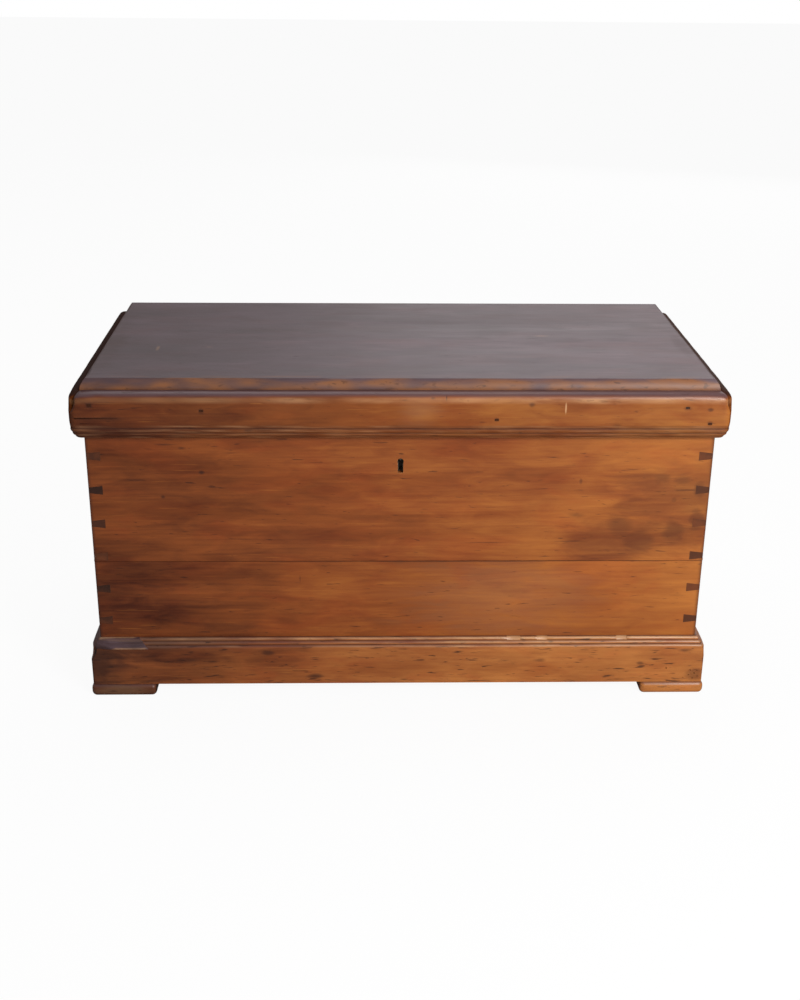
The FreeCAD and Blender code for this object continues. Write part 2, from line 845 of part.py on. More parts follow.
def lock_spring():
    """A leaf that rides on the bolt and bears up against the selvedge."""
    root = s.lock_offset - s.spring_reach
    tip = s.lock_offset
    crest = joint_z - s.lock_plate_thickness - s.running_gap
    leaf = s.spring_thickness
    corners = straight(
        (root, bolt_top),
        (root + s.hook_width, bolt_top),
        (root + s.hook_width, bolt_top + leaf),
        (tip, crest - leaf),
        (tip, crest),
        (tip - leaf, crest),
        (root + s.hook_width - leaf, bolt_top + 2 * leaf),
        (root, bolt_top + 2 * leaf))
    return prism("Y", bolt_y, corners)


node("lock_back_spring", lock_spring())


# Link plate

link_x = around(s.lock_offset, s.link_length / 2)
link_y = around(eye_y, s.link_width / 2)
link_z = (joint_z, joint_z + s.link_thickness)
link_screw_x = (s.link_length + s.eye_spread) / 4
link_screws = node("link_screws", group(*[
    screw("+Z", (s.lock_offset + side * link_screw_x, eye_y, joint_z), s.screw_length) for side in (-1, 1)
]))


def link_plate():
    """A plate with two eyes that drop through the selvedge's slots."""
    parts = [box(link_x, link_y, link_z)]
    holes = []
    for x in eye_places:
        thick = around(x, s.eye_thickness / 2)
        parts.append(box(thick, around(eye_y, s.eye_width / 2), (joint_z - s.eye_drop, joint_z)))
        holes.append(box(
            thick, around(eye_y, s.eye_width / 2 - s.eye_wall),
            (finger_low - s.eye_play, finger_top + s.eye_play)))
    return cut(fuse(*parts), link_screws, *holes)


node("link_plate", link_plate())


# Carcass boards

front_seam = carcass_z + s.front_lower_width
back_seam = carcass_z + s.back_lower_width
end_seam = carcass_z + s.end_lower_width
across = (-half_width, half_width)
front_y = (front, inner_front)
back_y = (inner_back, back)

mortise = box(
    (case_x[0] - s.lock_play, case_x[1] + s.lock_play), (cap_front, plate_face),
    (case_z[0] - s.lock_play, joint_z))
plate_recess = box(plate_x, (plate_face, inner_front), plate_z)
selvedge_recess = box(plate_x, selvedge_y, selvedge_z)
board_keyhole = keyhole((front - s.overrun, inner_front))

node("front_upper_board", cut(
    box(across, front_y, (front_seam, joint_z)),
    *ends_of_carcass, mortise, plate_recess, selvedge_recess, board_keyhole, lock_screws))
node("front_lower_board", cut(
    box(across, front_y, (carcass_z, front_seam)), *ends_of_carcass, bottom_nails, plinth_nails))
node("back_upper_board", cut(
    box(across, back_y, (back_seam, joint_z)),
    *ends_of_carcass, lower_bevel, lower_recesses, hinge_screws[-1]))
node("back_lower_board", cut(box(across, back_y, (carcass_z, back_seam)), *ends_of_carcass, bottom_nails))

for word, panel in zip(("left", "right"), ends_of_carcass):
    reach = half_width + s.overrun
    below = box((-reach, reach), (front - s.overrun, back + s.overrun), (carcass_z - s.overrun, end_seam))
    node(f"{word}_end_upper_board", cut(panel, below, lower_bevel))
    node(f"{word}_end_lower_board", cut(common(panel, below), bottom_nails, plinth_nails))


# Lid

rail_z = (joint_z, lid_board_z)
lid_across = (-lid_half, lid_half)
link_recess = box(link_x, link_y, link_z)
node("lid_front_rail", cut(
    box(lid_across, (lid_front, lid_front + s.wall), rail_z),
    *ends_of_lid, link_recess, link_screws, rim_nails))
node("lid_back_rail", cut(
    box(lid_across, back_y, rail_z), *ends_of_lid, upper_bevel, upper_recesses, hinge_screws[1]))
for word, panel in zip(("left", "right"), ends_of_lid):
    node(f"lid_{word}_rail", cut(panel, upper_bevel, rim_nails))

ovolo_z = top_z - s.ovolo_rise
side_view = [
    (lid_front, lid_board_z, ZERO),
    (back, lid_board_z, ZERO),
    (back, top_z, ZERO),
    (lid_front + s.ovolo_run, top_z, s.ovolo_bulge),
    (lid_front, ovolo_z, ZERO),
]
front_view = [
    (-lid_half, lid_board_z, ZERO),
    (lid_half, lid_board_z, ZERO),
    (lid_half, ovolo_z, s.ovolo_bulge),
    (lid_half - s.ovolo_run, top_z, ZERO),
    (s.ovolo_run - lid_half, top_z, s.ovolo_bulge),
    (-lid_half, ovolo_z, ZERO),
]
lid_top = common(prism("X", lid_across, side_view), prism("Y", (lid_front, back), front_view))
lid_seam = lid_front + s.lid_front_width
reach = lid_half + s.overrun
front_half = box(
    (-reach, reach), (lid_front - s.overrun, lid_seam), (lid_board_z - s.overrun, top_z + s.overrun))
node("lid_top_front_board", common(lid_top, front_half))
node("lid_top_back_board", cut(lid_top, front_half))


# Check and write

doc.recompute()
for thing in doc.Objects:
    if "Invalid" in thing.State or "Error" in thing.State:
        raise RuntimeError(f"{thing.Label} ({thing.Name}) failed: {thing.State}")

os.makedirs("parts", exist_ok=True)
for label, thing in nodes.items():
    shape = thing.Shape
    if shape.isNull() or not shape.isValid() or not shape.Solids:
        raise RuntimeError(f"{label} has no valid solid")
    shape.exportStep(f"parts/{label}.step")
    print(f"{label}: {len(shape.Solids)} solids, {shape.Volume:.1f} mm3")
print(f"{len(nodes)} nodes")
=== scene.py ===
"""Dresses the blanket chest: worn pine boards, moulded rim and plinth, old iron and a plain studio."""

import json
import math

import bmesh
import bpy
from mathutils import Matrix, Vector, noise

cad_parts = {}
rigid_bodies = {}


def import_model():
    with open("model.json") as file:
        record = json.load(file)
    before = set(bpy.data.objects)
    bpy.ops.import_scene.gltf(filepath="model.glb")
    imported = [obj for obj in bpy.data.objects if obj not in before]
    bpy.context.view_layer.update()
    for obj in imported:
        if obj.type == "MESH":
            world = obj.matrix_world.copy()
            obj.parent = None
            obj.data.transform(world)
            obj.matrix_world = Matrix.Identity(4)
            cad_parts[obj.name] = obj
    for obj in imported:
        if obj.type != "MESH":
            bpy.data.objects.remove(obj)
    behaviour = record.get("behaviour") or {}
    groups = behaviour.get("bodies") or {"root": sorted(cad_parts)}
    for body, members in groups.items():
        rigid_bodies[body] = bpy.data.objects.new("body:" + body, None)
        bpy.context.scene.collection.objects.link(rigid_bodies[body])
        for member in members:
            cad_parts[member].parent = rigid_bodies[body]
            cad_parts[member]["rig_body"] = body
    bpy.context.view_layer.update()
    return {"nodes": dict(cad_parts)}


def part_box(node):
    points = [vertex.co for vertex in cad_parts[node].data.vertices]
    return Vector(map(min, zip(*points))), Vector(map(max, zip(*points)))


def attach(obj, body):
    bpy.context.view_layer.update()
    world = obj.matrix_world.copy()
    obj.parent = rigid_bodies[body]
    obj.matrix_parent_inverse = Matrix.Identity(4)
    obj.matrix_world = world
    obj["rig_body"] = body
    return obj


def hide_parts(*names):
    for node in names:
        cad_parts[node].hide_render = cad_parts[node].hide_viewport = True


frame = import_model()

bl_info = {
    "name": "Blanket Chest",
    "version": (1, 0, 0),
    "blender": (4, 5, 0),
    "location": "View3D > Sidebar > Chest",
    "description": "Builds the visible pieces of an old pine blanket chest round its solid model",
    "category": "Add Mesh",
}

NODES = frame["nodes"]

# Faces of the wooden box and of the lid's top, read from the solids
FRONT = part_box("front_upper_board")[0].y
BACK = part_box("back_upper_board")[1].y
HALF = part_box("front_upper_board")[1].x
INNER_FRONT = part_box("front_upper_board")[1].y
LID_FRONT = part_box("lid_top_front_board")[0].y
LID_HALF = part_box("lid_top_front_board")[1].x

# How near two places are the same, the same looked at strictly, the bend that still counts as flat, the angle
# up to which faces are shaded as one, and the shortest edge of a board that is softened
SAME = 1e-5
STRICT = 1e-6
FLAT_BEND = math.radians(0.4)
SMOOTH_BEND = math.radians(40)
SHORT_EDGE = 0.006

# The three runs of a moulding
RUNS = ("front", "left", "right")

# Sections of the mouldings as shares: out from the wood, up, and how far the next edge swells
RIM_SHARES = (
    (0.0, 0.0, 0.0),
    (0.39, 0.0, 0.07),
    (0.64, 0.055, 0.07),
    (0.82, 0.135, 0.07),
    (0.94, 0.236, 0.015),
    (1.0, 0.4, 0.0),
    (1.0, 0.838, 0.2),
    (0.36, 1.0, 0.0),
    (0.0, 1.0, 0.0),
)
REED_SHARES = (
    (1.0, 0.0, 0.1),
    (0.7, 0.34, 0.1),
    (0.4, 0.67, 0.1),
    (0.1, 1.0, 0.0),
)
WORN_SHARES = (
    (1.0, 0.0, 0.26),
    (0.1, 1.0, 0.0),
)


def tone(red, green, blue):
    """A colour as it looks on screen, 0 to 255, as the linear value that a shader takes."""
    def straight(part):
        share = part / 255
        return share / 12.92 if share <= 0.04045 else ((share + 0.055) / 1.055) ** 2.4
    return (straight(red), straight(green), straight(blue))


def colour_prop(name, text, rgb):
    return bpy.props.FloatVectorProperty(
        name=name, description=text, subtype="COLOR", size=3, min=0, max=1, default=tone(*rgb))


def length_prop(name, text, value):
    return bpy.props.FloatProperty(
        name=name, description=text, unit="LENGTH", subtype="DISTANCE", min=0, precision=5, default=value)


def number_prop(name, text, value, **kind):
    return bpy.props.FloatProperty(name=name, description=text, default=value, **kind)


class ChestWear(bpy.types.PropertyGroup):
    """How far the edges and faces have worn."""

    arris: length_prop("Arris", "Rounding of the outer corners of the boards", 0.0012)
    joint_edge: length_prop("Joint edge", "Softened edge where two boards meet", 0.0005)
    rim_corner: length_prop("Rim corner", "Rounding of the rim at its front corners", 0.0130)
    plinth_corner: length_prop("Plinth corner", "Rounding of the plinth at its front corners", 0.0040)
    foot_round: length_prop("Foot rounding", "Radius of the pads' long edges", 0.0080)
    left_fall: length_prop("Left fall", "Wear of a moulding's upper edge at the left corner", 0.0090)
    right_fall: length_prop("Right fall", "Wear of a moulding's upper edge at the right corner", 0.0050)
    nibble: length_prop("Nibble", "Deepest loss along a moulded edge", 0.0012)
    ovolo_run: length_prop("Ovolo run", "Width of the quarter round on the lid's edge", 0.0080)
    ovolo_rise: length_prop("Ovolo rise", "Height of the quarter round on the lid's edge", 0.0163)
    ovolo_bulge: length_prop("Ovolo bulge", "How far the quarter round stands out of its chord", 0.0021)


class ChestColours(bpy.types.PropertyGroup):
    """Colours of the wood and metal."""

    carcass_deep: colour_prop("Carcass deep", "Darkest streaks of the front and ends", (72, 29, 9))
    carcass_mid: colour_prop("Carcass middle", "Main colour of the front and ends", (135, 68, 22))
    carcass_light: colour_prop("Carcass light", "Palest streaks of the front and ends", (176, 104, 38))
    # The lid's colours carry a painted mauve-blue sheen that stands in for the sky's reflection in its wax;
    # other pieces take them for their painted upward light.
    lid_deep: colour_prop("Lid deep", "Darkest streaks of the lid's top", (42, 29, 26))
    lid_mid: colour_prop("Lid middle", "Main colour of the lid's top", (81, 62, 68))
    lid_light: colour_prop("Lid light", "Palest streaks of the lid's top", (122, 98, 104))
    lid_edge: colour_prop("Lid edge", "Rubbed quarter round of the lid's edge", (130, 80, 44))
    rim_deep: colour_prop("Rim deep", "Darkest streaks of the rim", (78, 34, 12))
    rim_mid: colour_prop("Rim middle", "Main colour of the rim", (131, 68, 23))
    rim_light: colour_prop("Rim light", "Palest streaks of the rim", (176, 110, 44))
    plinth_deep: colour_prop("Plinth deep", "Darkest streaks of the plinth", (74, 32, 14))
    plinth_mid: colour_prop("Plinth middle", "Main colour of the plinth", (144, 79, 33))
    plinth_light: colour_prop("Plinth light", "Palest streaks of the plinth", (186, 117, 54))
    bare_deep: colour_prop("Bare deep", "Darkest streaks of the unfinished inside", (122, 86, 54))
    bare_mid: colour_prop("Bare middle", "Main colour of the unfinished inside", (172, 132, 90))
    bare_light: colour_prop("Bare light", "Palest streaks of the unfinished inside", (200, 166, 122))
    end_grain: colour_prop("End grain", "Wood cut across its grain, dark with wax", (43, 22, 11))
    flush: colour_prop("Flush", "Warm patches in the finish", (176, 96, 60))
    # Besides worn edges, this colour lays the painted highlights on the rim's shoulder, the plinth's reed
    # crests and the let-in length.
    rubbed: colour_prop("Rubbed", "Wood on edges worn through the finish", (206, 158, 112))
    grime: colour_prop("Grime", "Dirt in dents, cracks and pores", (42, 14, 5))
    # Besides old wax, this colour lays the painted shade that the marks and the grime attribute carry, such
    # as under the rim's reeds.
    seam: colour_prop("Seam", "Old wax in the grooves of the mouldings", (54, 22, 8))
    iron: colour_prop("Iron", "Old hinges and nails", (50, 38, 30))
    rust: colour_prop("Rust", "Rust on the iron", (84, 44, 22))
    steel: colour_prop("Steel", "The lock's worn steel", (128, 122, 112))
    lock_stain: colour_prop("Lock stain", "Brown tarnish on the lock", (84, 66, 50))
    # The drill pin's near-white is polished steel painted paler than it is, a painted glint so that it shows
    # in the dark keyhole.
    bright: colour_prop("Bright steel", "The lock's drill pin, kept bright by the key", (226, 220, 214))
    screw: colour_prop("Screw", "Heads of the screws, rubbed bright", (176, 168, 156))


class ChestStage(bpy.types.PropertyGroup):
    """The studio and its camera."""

    lens: number_prop("Lens", "Focal length in millimetres", 49.4964, unit="CAMERA", min=1)
    eye: bpy.props.FloatVectorProperty(
        name="Eye", description="Where the camera stands", subtype="TRANSLATION", unit="LENGTH",
        size=3, default=(-0.0620, -2.2281, 1.1595))
    yaw: number_prop("Yaw", "Turn of the camera to the right", 0.0302, subtype="ANGLE")
    pitch: number_prop("Pitch", "Tilt of the camera downwards", 0.3878, subtype="ANGLE")
    roll: number_prop("Roll", "Tilt of the camera to its side", 0.0104, subtype="ANGLE")
    key_power: number_prop("Key light", "Soft light from the front right", 76, unit="POWER", min=0)
    top_power: number_prop("Top light", "Soft light from above and behind", 34, unit="POWER", min=0)
    sheen_power: number_prop("Sheen light", "Soft light that the lid mirrors", 43, unit="POWER", min=0)
    sky: number_prop("Sky", "Even light from all sides", 0.3, min=0)
    floor: colour_prop("Floor", "Colour of the floor", (238, 238, 238))


# Selecting and shaping

def axis_way(axis, sign=1):
    """A unit vector along an axis."""
    return Vector((axis == "X", axis == "Y", axis == "Z")) * sign


def leave_edit():
    bpy.ops.object.mode_set(mode="OBJECT")


def deselect():
    if bpy.context.mode != "OBJECT":
        leave_edit()
    bpy.ops.object.select_all(action="DESELECT")


def activate(piece):
    deselect()
    piece.select_set(True)
    bpy.context.view_layer.objects.active = piece


def edit(piece):
    activate(piece)
    bpy.ops.object.mode_set(mode="EDIT")
    bpy.ops.mesh.select_all(action="SELECT")


def choose(piece, kind, test):
    """Selects in edit mode the verts or edges that pass a test, and says how many."""
    bpy.ops.mesh.select_all(action="DESELECT")
    bpy.context.tool_settings.mesh_select_mode = (kind == "verts", kind == "edges", False)
    mesh = bmesh.from_edit_mesh(piece.data)
    mesh.normal_update()
    chosen = [part for part in getattr(mesh, kind) if test(part)]
    for part in chosen:
        part.select_set(True)
    mesh.select_flush_mode()
    bmesh.update_edit_mesh(piece.data)
    return len(chosen)


def copy_node(node, name):
    """A merged copy of a solid's mesh, with its flat faces whole again."""
    piece = bpy.data.objects.new(name, NODES[node].data.copy())
    piece.data.materials.clear()
    bpy.context.scene.collection.objects.link(piece)
    edit(piece)
    bpy.ops.mesh.remove_doubles(threshold=STRICT)
    bpy.ops.mesh.dissolve_limited(angle_limit=FLAT_BEND)
    leave_edit()
    return piece


def block(name, low, high):
    """A block between two corners, its place in its mesh."""
    deselect()
    middle = (Vector(low) + Vector(high)) / 2
    bpy.ops.mesh.primitive_cube_add(size=1, location=middle)
    piece = bpy.context.active_object
    piece.name = name
    piece.scale = Vector(high) - Vector(low)
    bpy.ops.object.transform_apply(location=True, rotation=True, scale=True)
    return piece


def slice_at(piece, axis, places):
    """Cuts a new loop across a piece at each place along an axis."""
    edit(piece)
    normal = axis_way(axis)
    for place in places:
        bpy.ops.mesh.select_all(action="SELECT")
        bpy.ops.mesh.bisect(plane_co=normal * place, plane_no=normal)
    leave_edit()


def is_sharp(edge, angle=0.4):
    return len(edge.link_faces) == 2 and edge.calc_face_angle(0) > angle


def is_long(edge, angle):
    """A sharp edge that is long enough to be softened."""
    return is_sharp(edge, angle) and edge.calc_length() > SHORT_EDGE


def bevel_edges(piece, test, width, segments):
    edit(piece)
    if choose(piece, "edges", test):
        bpy.ops.mesh.bevel(offset=width, segments=segments, affect="EDGES", clamp_overlap=True)
    leave_edit()


def cut(piece, cutter, operation="DIFFERENCE"):
    """Cuts a block out of a piece, or keeps what lies in it, and removes the block."""
    activate(piece)
    tool = piece.modifiers.new("Cut", "BOOLEAN")
    tool.operation = operation
    tool.solver = "EXACT"
    tool.object = cutter
    bpy.ops.object.modifier_apply(modifier=tool.name)
    bpy.data.objects.remove(cutter)


def carve(piece, cutters):
    """Cuts blocks out of a piece one after another."""
    for cutter in cutters:
        cut(piece, cutter)
    edit(piece)
    bpy.ops.mesh.remove_doubles(threshold=SAME)
    leave_edit()


def face_outwards(piece):
    edit(piece)
    bpy.ops.mesh.normals_make_consistent(inside=False)
    leave_edit()


def dress(piece, node, material, smooth):
    """Gives a finished piece its material, and lets it stand for its solid on the same body."""
    activate(piece)
    if smooth:
        bpy.ops.object.shade_smooth_by_angle(angle=SMOOTH_BEND)
    else:
        bpy.ops.object.shade_flat()
    piece.data.materials.clear()
    piece.data.materials.append(material)
    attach(piece, NODES[node]["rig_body"])
    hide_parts(node)
    deselect()


def paint(node, material):
    """A better material on a solid that stays as it is."""
    data = NODES[node].data
    if not data.materials:
        data.materials.append(material)
    for index in range(len(data.materials)):
        data.materials[index] = material


def spread(low, high, step):
    """Places from low to high, a step or a little less apart."""
    count = max(1, math.ceil((high - low) / step))
    return [low + (high - low) * index / count for index in range(count + 1)]


def ripple(*place):
    """Smooth noise from -1 to 1 at a place."""
    return noise.noise(Vector(place))


# Mouldings

# Rings near a rounded corner as shares of its radius, and the step between the rings beyond
CORNER_RINGS = (0, 0.15, 0.3, 0.45, 0.6, 0.8, 1.0, 1.4)
RING_STEP = 0.009

# Wear near a mitre: where the general wear sets in, how far along the upper edge falls, from which share of
# the height it falls, and the band at the arris that is worn back
WEAR_START = 0.030
FALL_REACH = 0.036
FALL_FROM = 0.4
ARRIS_BAND = 0.016


def outline(corners, straight_step, arc_steps):
    """A section as points: as new, worn flat between its arrises, how deep in a groove, how near a crest."""
    points = []
    count = len(corners)
    for index, (out, up, swell) in enumerate(corners):
        after = corners[(index + 1) % count]
        across, rise = after[0] - out, after[1] - up
        length = math.hypot(across, rise)
        steps = arc_steps if swell else max(1, round(length / straight_step))
        for step in range(steps):
            share = step / steps
            chord = (out + across * share, up + rise * share)
            crest = 4 * share * (1 - share) if swell else 0.0
            arc = (chord[0] + rise / length * swell * crest, chord[1] - across / length * swell * crest)
            groove = 1.0 if step == 0 and swell and corners[index - 1][2] else 0.0
            points.append((arc, chord, groove, crest))
    return points


def bar(name, rings, count):
    """A plain round bar with rings of points along it, to be shaped into a moulding."""
    deselect()
    bpy.ops.mesh.primitive_cylinder_add(vertices=count, radius=1, depth=1, end_fill_type="NGON")
    piece = bpy.context.active_object
    piece.name = name
    edit(piece)
    choose(piece, "edges", lambda e: abs(e.verts[0].co.z - e.verts[1].co.z) > 0.5)
    bpy.ops.mesh.subdivide(number_cuts=rings - 2)
    leave_edit()
    return piece


def shape_bar(piece, rings, count, place):
    """Moves every point of a bar: place takes its ring along the bar and its number round the section."""
    worn = piece.data.attributes.new("worn", "FLOAT", "POINT")
    grime = piece.data.attributes.new("grime", "FLOAT", "POINT")
    for vertex in piece.data.vertices:
        ring = round((vertex.co.z + 0.5) * (rings - 1))
        angle = math.atan2(vertex.co.y, vertex.co.x) - math.pi / 2
        number = round(angle / math.tau * count) % count
        vertex.co, worn.data[vertex.index].value, grime.data[vertex.index].value = place(ring, number)
    piece.data.update()
    face_outwards(piece)


def moulding(name, run, section, planes, back, corner, wear, fall, extra=()):
    """One length of a mitred moulding, rounded at its front corner and worn along its edges.

    run is front, left or right; planes are the front and side faces that it is planted on; back is where a
    side run ends; wear gives the loss, bareness and dirt at a point, where bareness also holds painted
    highlights and dirt painted shade; fall is how far the upper edge is worn down at the left and the right
    corner; extra adds rings to a front run.
    """
    front, side = planes
    near = [corner * share for share in CORNER_RINGS]
    count = len(section)
    if run == "front":
        middle = sorted([*spread(-side + corner * 2, side - corner * 2, RING_STEP), *extra])
        stations = [("low", d) for d in near] + [("at", x) for x in middle]
        stations += [("high", d) for d in reversed(near)]
    else:
        middle = spread(front + corner * 2, back, RING_STEP)
        stations = [("low", d) for d in near] + [("at", y) for y in middle]
    piece = bar(name, len(stations), count)
    out_most = max(point[0][0] for point in section)
    lowest = min(point[0][1] for point in section)
    tall = max(point[0][1] for point in section) - lowest
    flat = max(point[1][0] for point in section)
    arris = max(point[1][1] for point in section if point[1][0] > flat - SAME)

    def place(ring, number):
        kind, value = stations[ring]
        (arc_out, arc_up), (chord_out, chord_up), groove, crest = section[number]
        sign = -1 if run == "left" or (run == "front" and kind == "low") else 1
        if run == "front":
            along = value if kind == "at" else sign * (side + arc_out - value)
        else:
            along = value if kind == "at" else front - arc_out + value
        loss, bare, dirt = wear(run, along, arc_out / out_most, arc_up, groove, crest)
        from_mitre = side + arc_out - abs(along) if run == "front" else along - front + arc_out
        loss *= min(1, from_mitre / WEAR_START)
        out = arc_out + (chord_out - arc_out) * min(1, loss)
        up = arc_up + (chord_up - arc_up) * min(1, loss)
        end = 0 if run == "left" or (run == "front" and along < 0) else 1
        nearness = max(0, 1 - from_mitre / FALL_REACH)
        raised = max(0, (up - lowest) / tall - FALL_FROM) / (1 - FALL_FROM)
        up -= fall[end] * nearness ** 2 * max(0, out) / out_most * raised
        out -= fall[end] * nearness ** 5 * max(0, 1 - abs(arc_up - arris) / ARRIS_BAND)
        radius = corner * math.sqrt(max(0, out) / out_most)
        if kind == "at" or value > radius or radius == 0:
            if run == "front":
                x = value if kind == "at" else sign * (side + out - value)
                return Vector((x, front - out, up)), bare, dirt
            y = value if kind == "at" else front - out + value
            return Vector((sign * (side + out), y, up)), bare, dirt
        angle = math.pi / 4 * (1 - value / radius)
        turn = (math.sin(angle), math.cos(angle)) if run == "front" else (math.cos(angle), math.sin(angle))
        x = side + out - radius + radius * turn[0]
        y = front - out + radius - radius * turn[1]
        return Vector((sign * x, y, up)), bare, dirt

    shape_bar(piece, len(stations), count, place)
    return piece


# Materials

class Value:
    """A number that changes over a surface: a sum on it adds a Math node."""

    def __init__(self, shader, socket):
        self.shader = shader
        self.socket = socket

    def sum(self, operation, first, second):
        return self.shader.add("ShaderNodeMath", {"operation": operation}, {0: first, 1: second})

    def __add__(self, other):
        return self.sum("ADD", self, other)

    def __radd__(self, other):
        return self.sum("ADD", other, self)

    def __sub__(self, other):
        return self.sum("SUBTRACT", self, other)

    def __rsub__(self, other):
        return self.sum("SUBTRACT", other, self)

    def __mul__(self, other):
        return self.sum("MULTIPLY", self, other)

    def __rmul__(self, other):
        return self.sum("MULTIPLY", other, self)

    def __truediv__(self, other):
        return self.sum("DIVIDE", self, other)

    def __rtruediv__(self, other):
        return self.sum("DIVIDE", other, self)

    def larger(self, other):
        return self.sum("MAXIMUM", self, other)


class Shader:
    """The nodes of a material or of the world."""

    def __init__(self, owner):
        owner.use_nodes = True
        self.owner = owner
        self.tree = owner.node_tree
        self.tree.nodes.clear()

    def add(self, kind, settings=None, sockets=None, output=0):
        """Adds a node with its settings, then the values or links of its sockets."""
        node = self.tree.nodes.new(kind)
        for key, value in (settings or {}).items():
            if key == "stops":
                self.set_stops(node.color_ramp, value)
            else:
                setattr(node, key, value)
        for key, value in (sockets or {}).items():
            if isinstance(value, Value):
                self.tree.links.new(value.socket, node.inputs[key])
            else:
                node.inputs[key].default_value = value
        return Value(self, node.outputs[output]) if node.outputs else None

    @staticmethod
    def set_stops(ramp, stops):
        while len(ramp.elements) > 1:
            ramp.elements.remove(ramp.elements[-1])
        for index, (place, colour) in enumerate(stops):
            stop = ramp.elements[0] if index == 0 else ramp.elements.new(place)
            stop.position = place
            stop.color = (*colour, 1)

    def stretched(self, vector, scale):
        return self.add("ShaderNodeMapping", {}, {"Vector": vector, "Scale": scale})

    def clouds(self, vector, scale, detail=2.0, rough=0.5, bend=0.0):
        """Noise from 0 to 1, stretched by its scale in each direction, in cycles a metre."""
        return self.add("ShaderNodeTexNoise", {}, {
            "Vector": self.stretched(vector, scale), "Scale": 1.0, "Detail": detail, "Roughness": rough,
            "Distortion": bend})

    def coordinate(self, kind):
        return self.add("ShaderNodeTexCoord", output=kind)

    def attribute(self, name):
        return self.add("ShaderNodeAttribute", {"attribute_name": name}, {}, "Fac")

    def part(self, vector, axis):
        return self.add("ShaderNodeSeparateXYZ", {}, {0: vector}, axis)

    def length(self, vector):
        return self.add("ShaderNodeVectorMath", {"operation": "LENGTH"}, {0: vector}, "Value")

    def toward(self, facing, way):
        """How squarely a surface faces a way, from -1 to 1."""
        return self.add("ShaderNodeVectorMath", {"operation": "DOT_PRODUCT"}, {0: facing, 1: way}, "Value")

    def ramp(self, value, stops):
        return self.add("ShaderNodeValToRGB", {"stops": stops}, {0: value})

    def ray(self, kind):
        return self.add("ShaderNodeLightPath", output=kind)

    def smooth(self, value, low, high):
        """0 below low, 1 above high and an even slope between; low may lie above high."""
        return self.add("ShaderNodeMapRange", {"interpolation_type": "SMOOTHSTEP"}, {
            "Value": value, "From Min": low, "From Max": high})

    def mix(self, share, first, second, blend="MIX"):
        settings = {"data_type": "RGBA", "blend_type": blend, "clamp_factor": True}
        return self.add("ShaderNodeMix", settings, {0: share, 6: first, 7: second}, 2)

    def oval(self, vector, middle, reach):
        """Distance from a middle, 1 at the reach in each direction."""
        scale = [1 / part for part in reach]
        offset = [-place * part for place, part in zip(middle, scale)]
        moved = self.add("ShaderNodeMapping", {}, {"Vector": vector, "Location": offset, "Scale": scale})
        return self.length(moved)

    def show(self, shown, kind="ShaderNodeOutputMaterial"):
        """Ends the nodes with what is shown, and gives the material or world."""
        self.add(kind, {}, {"Surface": shown})
        return self.owner


def rgba(colour):
    return (*colour, 1.0)


# Noise in the wood, in cycles a metre: along the grain, across it and through it
STREAKS = (2.3, 25, 25)
CLOUDS = (4.0, 9, 9)
MOTTLE = (13, 52, 52)
FIBRES = (8, 260, 260)
WANDER = (1.3, 4.5, 4.5)
FLUSHES = (9, 24, 24)
SCRATCHES = (12, 520, 520)
PORES = (34, 330, 330)
SPECKS = (8, 15, 15)
PITS = (70, 190, 190)
WAX = (4, 4, 23)

# Growth rings: how long they run along the board, how far they wander and how close they lie
RING_STRETCH = (0.015, 1.0, 1.0)
RING_WANDER = 0.09
RING_PITCH = 760.0

# Where the three colours of a wood lie on its ramp, and the height over which the painted upward light sets
# in
RAMP_PLACES = (0.05, 0.5, 0.95)
UPWARD_RISE = 0.008

# Dark corners of the box: from and to, short of its outer face
CORNER_FROM = 0.0065
CORNER_TO = 0.0005


